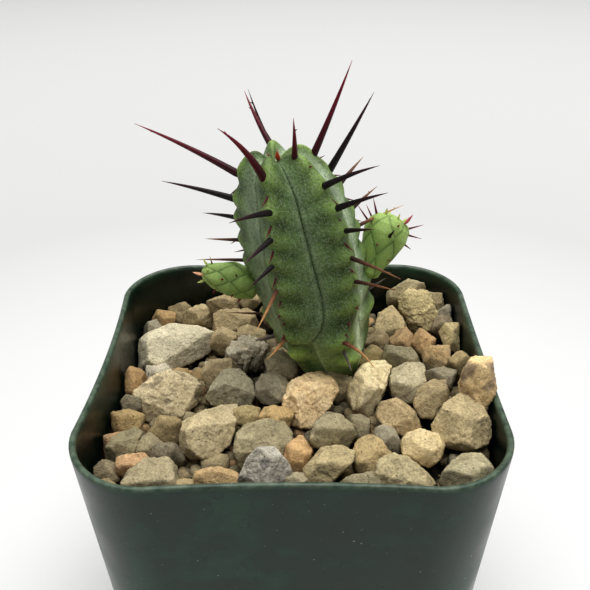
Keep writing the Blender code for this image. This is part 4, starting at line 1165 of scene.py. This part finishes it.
def makeStem(material):
    bm = newMesh()
    tint = bm.verts.layers.float_color["tint"]
    bmesh.ops.create_uvsphere(bm, u_segments=stem["segments"], v_segments=stem["rings"], radius=1)
    tones = {name: hue(code) for name, code in stem["tones"].items()}
    for vert in bm.verts:
        turn = math.degrees(math.atan2(vert.co.x, -vert.co.y))
        share = 1 - math.acos(max(-1, min(1, vert.co.z))) / math.pi
        height, radius, marks = neckSkin(share) if share <= stem["neckShare"] else bodySkin(turn, share)
        vert.co = stemMiddle(height) + heading(turn) * radius
        if height > stem["middle"]:
            crown = bell(radius - 4.4, 2.8) * smoothStep(24, 29, height) * (bell(marks[0], 0.33) - 0.42)
            vert.co.z += stem["crownRise"] * crown - stem["crownDip"] * bell(radius, 2.2)
        vert[tint] = (*skinTone(tones, turn, height, *marks), 1)
    bmesh.ops.recalc_face_normals(bm, faces=bm.faces)
    skin = BVHTree.FromBMesh(bm)
    finishPiece(bm, "stem", material, "stem", ["stem"])
    print("stem made")
    return skin


# tone stops of a spine from its base to its tip
spineTones = {
    "crimson": ((0.0, "#290a10"), (0.35, "#430c17"), (0.75, "#68101f"), (1.0, "#962a36")),
    "blackRed": ((0.0, "#121012"), (0.5, "#1d1014"), (0.85, "#35181c"), (1.0, "#5e3a38")),
    "brown": ((0.0, "#1d1414"), (0.25, "#3f2620"), (0.6, "#6b4630"), (1.0, "#8e6844")),
    "tan": ((0.0, "#241816"), (0.22, "#5e3a2c"), (0.5, "#a5744a"), (1.0, "#c89a62")),
    "grey": ((0.0, "#4b4541"), (0.5, "#6f665f"), (1.0, "#8d8177")),
    "thorn": ((0.0, "#37111a"), (0.5, "#561722"), (1.0, "#6c2531")),
    "young": ((0.0, "#4c141d"), (0.5, "#6f1c28"), (1.0, "#96343e")),
}

# the spines up each rib: tone, sideways bend in millimetres, its turn, places of small barbs
spineLooks = {
    "left": (
        ("crimson", 0.35, 90, (0.82,)),
        ("blackRed", 0.2, 90, ()),
        ("blackRed", 0.1, 90, (0.55,)),
        ("brown", 0.05, 0, ()),
        ("brown", 0.1, 90, ()),
        ("brown", 0.05, 0, ()),
        ("grey", 0.3, 270, ()),
    ),
    "front_left": (
        ("crimson", 0.8, 90, (0.55, 0.85)),
        ("blackRed", 0.2, 90, ()),
        ("blackRed", 0.1, 90, ()),
        ("tan", 0.15, 0, ()),
        ("tan", 0.15, 270, ()),
    ),
    "front_right": (
        ("crimson", 0.1, 0, (0.72,)),
        ("blackRed", 0.25, 90, ()),
        ("blackRed", 0.15, 90, ()),
        ("blackRed", 0.05, 90, ()),
        ("brown", 0.1, 90, (0.75, 0.95)),
        ("brown", 0.1, 90, (0.9,)),
        ("tan", 0.9, 90, ()),
    ),
    "right": (
        ("crimson", 0.3, 180, (0.72, 0.88)),
        ("blackRed", 0.15, 180, (0.7, 0.9)),
        ("brown", 0.1, 90, ()),
        ("brown", 0.1, 90, (0.7,)),
        ("tan", 0.1, 90, (0.8,)),
    ),
    "back": (
        ("crimson", 0.3, 0, (0.7,)),
        ("blackRed", 0.3, 0, (0.8,)),
    ),
}

# the thorns on each rib: height, length, turn from the rib, rise, thickness, tone
thorns = {
    "left": (
        (25.6, 2.2, -10, -40, 0.45, "thorn"),
        (16.6, 2.0, -12, -40, 0.45, "thorn"),
        (14.4, 2.4, -12, -20, 0.45, "thorn"),
    ),
    "front_left": (
        (27.4, 2.2, -10, -30, 0.6, "thorn"),
        (23.0, 2.0, -5, -35, 0.55, "thorn"),
        (19.2, 2.2, 0, -40, 0.55, "thorn"),
        (17.0, 5.2, -18, -18, 0.9, "blackRed"),
        (14.8, 2.0, -8, -50, 0.55, "thorn"),
        (10.4, 1.4, 5, -30, 0.5, "thorn"),
        (8.2, 0.9, 0, -10, 0.5, "thorn"),
        (6.2, 0.9, 0, -10, 0.5, "thorn"),
        (4.2, 1.2, 5, -10, 0.6, "thorn"),
    ),
    "front_right": (
        (30.2, 1.3, -10, 30, 0.6, "thorn"),
        (26.2, 2.2, 10, -30, 0.55, "thorn"),
        (22.8, 2.0, 6, -45, 0.55, "thorn"),
        (19.2, 2.0, 10, -30, 0.5, "thorn"),
        (15.0, 1.1, 0, -20, 0.6, "thorn"),
        (8.8, 0.7, 0, 0, 0.45, "thorn"),
        (5.8, 0.7, 0, 0, 0.45, "thorn"),
        (4.2, 0.7, 0, 0, 0.45, "thorn"),
        (0.8, 3.4, 12, -50, 0.75, "grey"),
    ),
    "right": (
        (29.4, 1.6, 0, 20, 0.5, "thorn"),
        (26.6, 1.6, 10, -10, 0.45, "thorn"),
        (22.4, 1.6, 10, -20, 0.45, "thorn"),
        (18.4, 1.2, 10, -20, 0.4, "thorn"),
        (8.6, 5.5, 20, 35, 0.85, "grey"),
        (5.4, 4.2, 15, 12, 0.6, "grey"),
        (13.0, 5.5, -14, 4, 0.75, "brown"),
    ),
    "back": (
        (26.0, 2.4, 10, 20, 0.5, "thorn"),
        (21.5, 6.5, -8, 12, 0.9, "blackRed"),
        (17.0, 7.0, 12, 5, 0.85, "brown"),
        (12.5, 6.0, -6, 0, 0.8, "brown"),
        (8.0, 5.0, 8, -6, 0.7, "grey"),
    ),
}

# how far up from where it leaves the skin a spine starts, as a share of what shows
lifts = {
    "spine_front_right_1": 0.25,
    "spine_front_left_1": 0.09,
    "spine_right_1": 0.085,
    "spine_right_2": 0.09,
}


def spineMaterial(name, roughness):
    # A dry spine, horn-like: smooth, a little glossy when young, with faint streaks.
    settings = {"Roughness": roughness, "IOR": 1.5, "Specular IOR Level": 0.15}
    made, tree, shader, place = newMaterial(name, settings)
    toned, grain = mottle(tree, place, ((0.4, 3.0, 0.5, 0.2, 0.65, 1.4),))
    bump = addNode(tree, "Bump", {"Strength": 0.25, "Distance": 0.08 * mm, "Height": grain})
    fillNode(tree, shader, {"Base Color": toned, "Normal": bump})
    return made


def growSpine(bm, base, tip, thickness, tone, bend=0, bendTurn=0, barbs=(), steps=12, rings=20):
    tint, ringOf = bm.verts.layers.float_color["tint"], bm.verts.layers.int["ring"]
    stops = [(spot, hue(code)) for spot, code in spineTones[tone]]
    length = (tip - base).length
    turn = (tip - base).to_track_quat("Z", "Y").to_matrix()
    side = Vector((*onCircle(math.radians(bendTurn)), 0))

    def along(share, spot=(0, 0)):
        return base + turn @ (Vector((*spot, share * length)) + side * bend * 4 * share * (1 - share))

    def place(step, ring):
        share = ring / (rings - 1)
        radius = thickness / 2 * max(0.05, (1 - share) ** 0.8) * (0.8 + 0.2 * smoothStep(0, 0.05, share))
        return along(share, onCircle(math.tau * step / steps, radius))

    for vert in loft(bm, steps, rings, place):
        vert[tint] = (*between(stops, vert[ringOf] / (rings - 1)), 1)
    for number, share in enumerate(barbs):
        centre = along(share)
        out = turn @ Vector((*onCircle(2.5 * number), 0.9))
        growSpine(bm, centre, centre + out * 0.5, 0.32, tone, steps=6, rings=4)


def cadSpine(name):
    # base, tip and thickness of a packed spine, from its outermost corners
    corners = np.unique(np.round(np.array([vert.co for vert in nodes[name].data.vertices]) / mm, 3), axis=0)
    spread = np.linalg.norm(corners[:, None] - corners[None], axis=2)
    first, last = np.unravel_index(spread.argmax(), spread.shape)
    along = (corners - corners[first]) @ (corners[last] - corners[first]) / spread.max() ** 2
    ends = [corners[along < 0.12], corners[along > 0.88]]
    sizes = [np.linalg.norm(end - end.mean(axis=0), axis=1).max() for end in ends]
    if sizes[0] < sizes[1]:
        ends.reverse()
    base, tip = (Vector(end.mean(axis=0)) for end in ends)
    return base, tip, 2 * float(max(sizes))


def plantedFoot(skin, base, tip, share):
    # the spine's foot moved up its own line and back onto the skin
    leaves = skin.ray_cast(tip, base - tip)[0]
    if leaves is None:
        return base
    spot = leaves.lerp(tip, share)
    sight = (spot - eye).normalized()
    landed = skin.ray_cast(spot, sight, 6)[0]
    return landed + sight * 0.4 if landed else base


def makeSpines(skin):
    materials = {
        "spine_red": spineMaterial("youngRedSpine", 0.38),
        "spine_dark": spineMaterial("matureDarkSpine", 0.42),
        "spine_brown": spineMaterial("dryBrownSpine", 0.62),
    }
    slots = {"crimson": "spine_red", "blackRed": "spine_dark"}
    for rib, looks in spineLooks.items():
        for number, (tone, *shape) in enumerate(looks, 1):
            name = f"spine_{rib}_{number}"
            base, tip, thickness = cadSpine(name)
            if name in lifts:
                base = plantedFoot(skin, base, tip, lifts[name])
            slot = slots.get(tone, "spine_brown")
            bm = newMesh()
            growSpine(bm, base - (tip - base).normalized() * 1.1, tip, thickness, tone, *shape)
            finishPiece(bm, camel(name), materials[slot], slot, [name])
    bm = newMesh()
    for rib, rows in thorns.items():
        for height, length, turn, rise, thickness, tone in rows:
            way = heading(ribAngle(rib, height) + turn, rise)
            base = skinPoint(rib, height, -0.3)
            growSpine(bm, base - way * 0.3, base + way * (length + 0.3), thickness, tone, steps=8, rings=9)
    finishPiece(bm, "thorns", materials["spine_dark"], "spine_dark")
    print("spines made")
    return materials


# The two young offsets. outline is (share of the length, radius); thorns are (share, turn about the
# axis, length, thickness, lean towards the tip, tone), leaves (share, turn, length, width, lean, hex).
offsets = {
    "offset_left": {
        "rib": "left",
        "height": 7.0,
        "length": 10.2,
        "turn": 8,
        "rise": 16,
        "rows": 4,
        "tone": 1.35,
        "outline": (
            (0, 1.9), (0.1, 2.3), (0.3, 2.75), (0.5, 2.8), (0.68, 2.35), (0.84, 1.75), (0.94, 1.3),
            (1, 0.8),
        ),
        "thorns": (
            (0.86, 100, 1.3, 0.35, 30, "tan"),
            (0.62, 20, 0.6, 0.5, 30, "young"),
            (0.42, 45, 0.7, 0.5, 10, "young"),
            (0.4, -30, 0.6, 0.45, 10, "young"),
            (0.7, -50, 0.8, 0.45, 10, "young"),
            (0.25, -50, 0.9, 0.6, 20, "young"),
            (0.5, 150, 0.8, 0.45, 20, "young"),
            (0.3, 200, 0.8, 0.45, 20, "young"),
        ),
        "leaves": (
            (0.97, 0, 2.0, 1.3, 72, "#e0a07c"),
            (0.94, 90, 1.6, 1.0, 55, "#c6cf6a"),
            (0.93, -60, 1.4, 1.0, 50, "#c9d070"),
            (0.92, 170, 1.3, 0.7, 50, "#b9c862"),
            (0.9, 40, 1.1, 0.6, 40, "#c4cc66"),
        ),
    },
    "offset_right": {
        "rib": "right",
        "height": 8.0,
        "length": 11.6,
        "turn": 18,
        "rise": 56,
        "rows": 3,
        "tone": 1.45,
        "outline": (
            (0, 1.7), (0.12, 1.9), (0.3, 2.5), (0.5, 3.2), (0.7, 3.7), (0.84, 3.5), (0.94, 2.7), (1, 1.2),
        ),
        "thorns": (
            (0.9, 60, 2.8, 0.5, 50, "young"),
            (0.84, 30, 2.2, 0.4, 40, "young"),
            (0.76, 45, 3.4, 0.45, 30, "young"),
            (0.9, 215, 2.6, 0.45, 40, "young"),
            (0.82, 235, 2.6, 0.45, 10, "young"),
            (0.68, 240, 1.7, 0.5, -10, "young"),
            (0.68, 140, 1.9, 0.7, 40, "blackRed"),
            (0.86, 150, 0.6, 0.5, 30, "young"),
            (0.5, 120, 0.6, 0.5, 10, "young"),
            (0.36, 180, 0.6, 0.45, 10, "young"),
            (0.6, 60, 0.6, 0.45, 10, "young"),
            (0.8, 320, 2.0, 0.45, 30, "young"),
            (0.6, 290, 1.4, 0.45, 10, "young"),
            (0.5, 0, 1.4, 0.45, 20, "young"),
        ),
        "leaves": (
            (0.97, 150, 1.3, 0.8, 75, "#c4cf68"),
            (0.95, 185, 2.4, 1.4, 62, "#b04850"),
            (0.96, 90, 1.4, 0.8, 75, "#c8d06c"),
            (0.96, 260, 1.4, 0.8, 60, "#b9c862"),
            (0.96, 330, 1.3, 0.8, 65, "#c2cc68"),
        ),
    },
}

# the crown's leaves: turn, distance from the axis, length, width, rise, hex
crownLeaves = (
    (-10, 0.3, 2.1, 1.0, 64, "#e0482c"),
    (-70, 1.0, 1.9, 0.9, 55, "#8a2c2e"),
    (60, 0.9, 2.2, 0.8, 50, "#96403a"),
    (-95, 2.2, 1.6, 0.8, 45, "#a8503c"),
)


def growLeaf(bm, base, way, length, width, code):
    # a scale leaf: a small pointed tongue, hollowed above
    tint = bm.verts.layers.float_color["tint"]
    turn = way.to_track_quat("Z", "Y").to_matrix()
    tone = hue(code)
    for vert in bmesh.ops.create_icosphere(bm, subdivisions=3, radius=1)["verts"]:
        share = (vert.co.z + 1) / 2
        taper = (1 - 0.75 * share**1.5) * (0.55 + 0.45 * smoothStep(0, 0.35, share))
        x, y = vert.co.x * width / 2 * taper, vert.co.y * width / 5 * taper
        vert.co = base + turn @ Vector((x, y + 0.12 * length * share * share, share * length))
        vert[tint] = (*(tone * (0.75 + 0.4 * share)), 1)


def offsetPlates(around, along):
    # how near the middle of a plate a spot is, and how near the line between two plates
    first = math.hypot(around - round(around), (along - 2 * round(along / 2)) * 0.55)
    second = math.hypot(around - math.floor(around) - 0.5, (along - 2 * math.floor(along / 2) - 1) * 0.55)
    return smoothStep(0.4, 1, 1 - min(first, second)), bell(first - second, 0.04)


def makeOffset(name, material, thornMaterial, leafMaterial):
    size = offsets[name]
    way = heading(ribAngle(size["rib"], size["height"]) + size["turn"], size["rise"])
    start = skinPoint(size["rib"], size["height"], -1.0)
    turn = way.to_track_quat("Z", "Y").to_matrix()

    def spotAt(share, angle, radius):
        return start + turn @ Vector((*onCircle(angle, radius), share * size["length"]))

    def rooted(rows):
        # the foot and direction of each thorn or leaf, with what else its row says
        for share, angle, long, wide, lean, look in rows:
            angle, lean = math.radians(angle), math.radians(lean)
            foot = spotAt(share, angle, between(size["outline"], share))
            yield foot, turn @ Vector((*onCircle(angle, math.cos(lean)), math.sin(lean))), long, wide, look

    bm = newMesh()
    tint = bm.verts.layers.float_color["tint"]
    bmesh.ops.create_uvsphere(bm, u_segments=140, v_segments=110, radius=1)
    base, bright, line = hue("#60793a"), hue("#8ba458"), hue("#2a3f1c")
    for vert in bm.verts:
        angle = math.atan2(vert.co.y, vert.co.x)
        height = max(-1, min(1, vert.co.z))
        ends, share = math.sqrt(1 - height * height), (1 + height) / 2
        knob, crease = offsetPlates(5 * (angle / math.tau + 0.1 * share), size["rows"] * share)
        close = min(1, ends * 2.2)
        radius = between(size["outline"], share) * min(1, ends * 1.9) ** 0.6
        vert.co = spotAt(share, angle, radius + close * (0.3 * knob - 0.12 * crease))
        colour = base.lerp(bright, 0.5 * knob + 0.5 * smoothStep(0.45, 1, share))
        vert[tint] = (*(colour.lerp(line, 0.6 * crease * close) * size["tone"]), 1)
    bmesh.ops.recalc_face_normals(bm, faces=bm.faces)
    finishPiece(bm, camel(name), material, "offset", [name])
    bm = newMesh()
    for foot, out, long, thick, tone in rooted(size["thorns"]):
        growSpine(bm, foot - out * 0.2, foot + out * (long + 0.3), thick, tone, steps=8, rings=9)
    finishPiece(bm, camel(name) + "Thorns", thornMaterial, "spine_red")
    bm = newMesh()
    for foot, out, long, wide, code in rooted(size["leaves"]):
        growLeaf(bm, foot - way * 0.25, out, long, wide, code)
    finishPiece(bm, camel(name) + "Leaves", leafMaterial, "leaf", ["leaf_" + name])


def leafSkin():
    # Young scale leaves: thin fresh tissue, a little glossier than the stem.
    made, tree, shader, place = newMaterial("youngLeafSkin", {"Roughness": 0.42, "IOR": 1.42})
    toned = mottle(tree, place, ((0.4, 2.0, 0.5, 0.2, 0.75, 1.2),))[0]
    fillNode(tree, shader, {"Base Color": toned})
    return made


def makeLeaves(material):
    bm = newMesh()
    top = stemMiddle(stem["height"] - 1.7)
    for turn, out, long, wide, rise, code in crownLeaves:
        growLeaf(bm, top + heading(turn) * out, heading(turn, rise), long, wide, code)
    finishPiece(bm, "crownLeaves", material, "leaf", ["leaf_crown"])


def peatSoil():
    # Damp potting soil: dark peat crumbs a millimetre wide with paler bits of bark.
    made, tree, shader, place = newMaterial("peatSoil", {"Roughness": 0.95})
    crumbs = addNode(tree, "TexNoise", {"Scale": 1 / (1.2 * mm), "Detail": 6.0, "Vector": place})
    browns = ((0.35, "#17110c"), (0.55, "#2c2118"), (0.72, "#4d3d2c"))
    tone = addNode(tree, "ValToRGB", {"stops": browns, "Fac": crumbs})
    bump = addNode(tree, "Bump", {"Distance": 0.6 * mm, "Height": crumbs})
    fillNode(tree, shader, {"Base Color": tone, "Normal": bump})
    return made


def rootBark():
    # Root bark: pale brown and corky, mottled every millimetre.
    made, tree, shader, place = newMaterial("rootBark", {"Roughness": 0.85})
    flakes = addNode(tree, "TexNoise", {"Scale": 1 / (1 * mm), "Detail": 4.0, "Vector": place})
    tone = addNode(tree, "ValToRGB", {"stops": ((0.35, "#6f5a41"), (0.6, "#a58c69")), "Fac": flakes})
    fillNode(tree, shader, {"Base Color": tone})
    return made


# The paper, light and camera, in metres.
studio = {
    # across and up: a flat round floor whose rim curls up far behind
    "sweep": (
        (0.9, 0), (1.1, 0), (1.3, 0), (1.5, 0.01), (1.7, 0.05), (1.9, 0.13), (2.1, 0.27), (2.2, 0.45),
    ),
    "sweepSteps": 96,
    # painted shade: the paper's tone by distance from the middle, for the light's fall-off
    "paper": ((0.05, "#e8e8e7"), (0.12, "#dfdfde"), (0.2, "#cfcfce"), (0.57, "#e2e2e1"), (0.9, "#efefee")),
    "softbox": (0.05, 0.12, 0.9),
    "softboxTarget": (0, 0, 0.05),
    "softboxSize": 0.9,
    "softboxPower": 10.5,
    "fill": 0.37,
    "lens": 47.94,
    "camera": (
        (1.0, 0.0034, 0.0089, 0.001625),
        (0.0060, 0.4989, -0.8666, -0.10768),
        (-0.0074, 0.8667, 0.4988, 0.13507),
        (0, 0, 0, 1),
    ),
}


def makeSweep():
    # A seamless paper sweep, matt and near white, a little greyer round the pot: painted shade for how the
    # light falls across it.
    settings = {"Roughness": 0.9, "Specular IOR Level": 0.1}
    made, tree, shader, place = newMaterial("paperSweepPaintedShade", settings)
    away = addNode(tree, "VectorMath", {"operation": "LENGTH", 0: place})
    tone = addNode(tree, "ValToRGB", {"stops": studio["paper"], "Fac": away})
    fillNode(tree, shader, {"Base Color": tone})

    def curl(step, ring):
        across, up = studio["sweep"][ring]
        return Vector((*onCircle(math.tau * step / studio["sweepSteps"], across), up))

    bm = newMesh()
    loft(bm, studio["sweepSteps"], len(studio["sweep"]), curl)
    lid = [face for face in bm.faces if len(face.verts) > 4 and face.verts[0].co.z > 0.1]
    bmesh.ops.delete(bm, geom=lid, context="FACES_ONLY")
    newObject(bm, "paperSweep", made)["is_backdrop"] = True


def makeStudio():
    makeSweep()
    lamp = bpy.data.lights.new("overheadSoftbox", "AREA")
    lamp.shape = "RECTANGLE"
    lamp.size = lamp.size_y = studio["softboxSize"]
    lamp.energy = studio["softboxPower"]
    light = bpy.data.objects.new("overheadSoftbox", lamp)
    light.location = studio["softbox"]
    aim = Vector(studio["softboxTarget"]) - Vector(studio["softbox"])
    light.rotation_euler = aim.to_track_quat("-Z", "Y").to_euler()
    world = bpy.data.worlds.new("studio")
    world.use_nodes = True
    fill = {"Color": (1, 1, 1, 1), "Strength": studio["fill"]}
    fillNode(world.node_tree, world.node_tree.nodes["Background"], fill)
    camera = bpy.data.objects.new("camera", bpy.data.cameras.new("camera"))
    camera.data.lens = studio["lens"]
    camera.matrix_world = Matrix(studio["camera"])
    scene = bpy.context.scene
    for thing in (light, camera):
        scene.collection.objects.link(thing)
    scene.world = world
    scene.camera = camera
    scene.view_settings.view_transform = "Standard"


makeStudio()
makePot()
makeStones()
skin = euphorbiaSkin("waxyGreenSkin", 0.38, 0.33, 0.44)
youngSkin = euphorbiaSkin("youngGreenSkin", 0.14, 0.12, 0.16)
spineSkins = makeSpines(makeStem(skin))
leaf = leafSkin()
makeLeaves(leaf)
for offset in offsets:
    makeOffset(offset, youngSkin, spineSkins["spine_red"], leaf)
print("offsets and leaves made")
nodes["soil"].material_slots[0].material = peatSoil()
nodes["roots"].material_slots[0].material = rootBark()
print("soil and roots dressed")

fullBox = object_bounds()
[[list(map(float, corner)) for corner in box] for box in (cadBox, fullBox)]
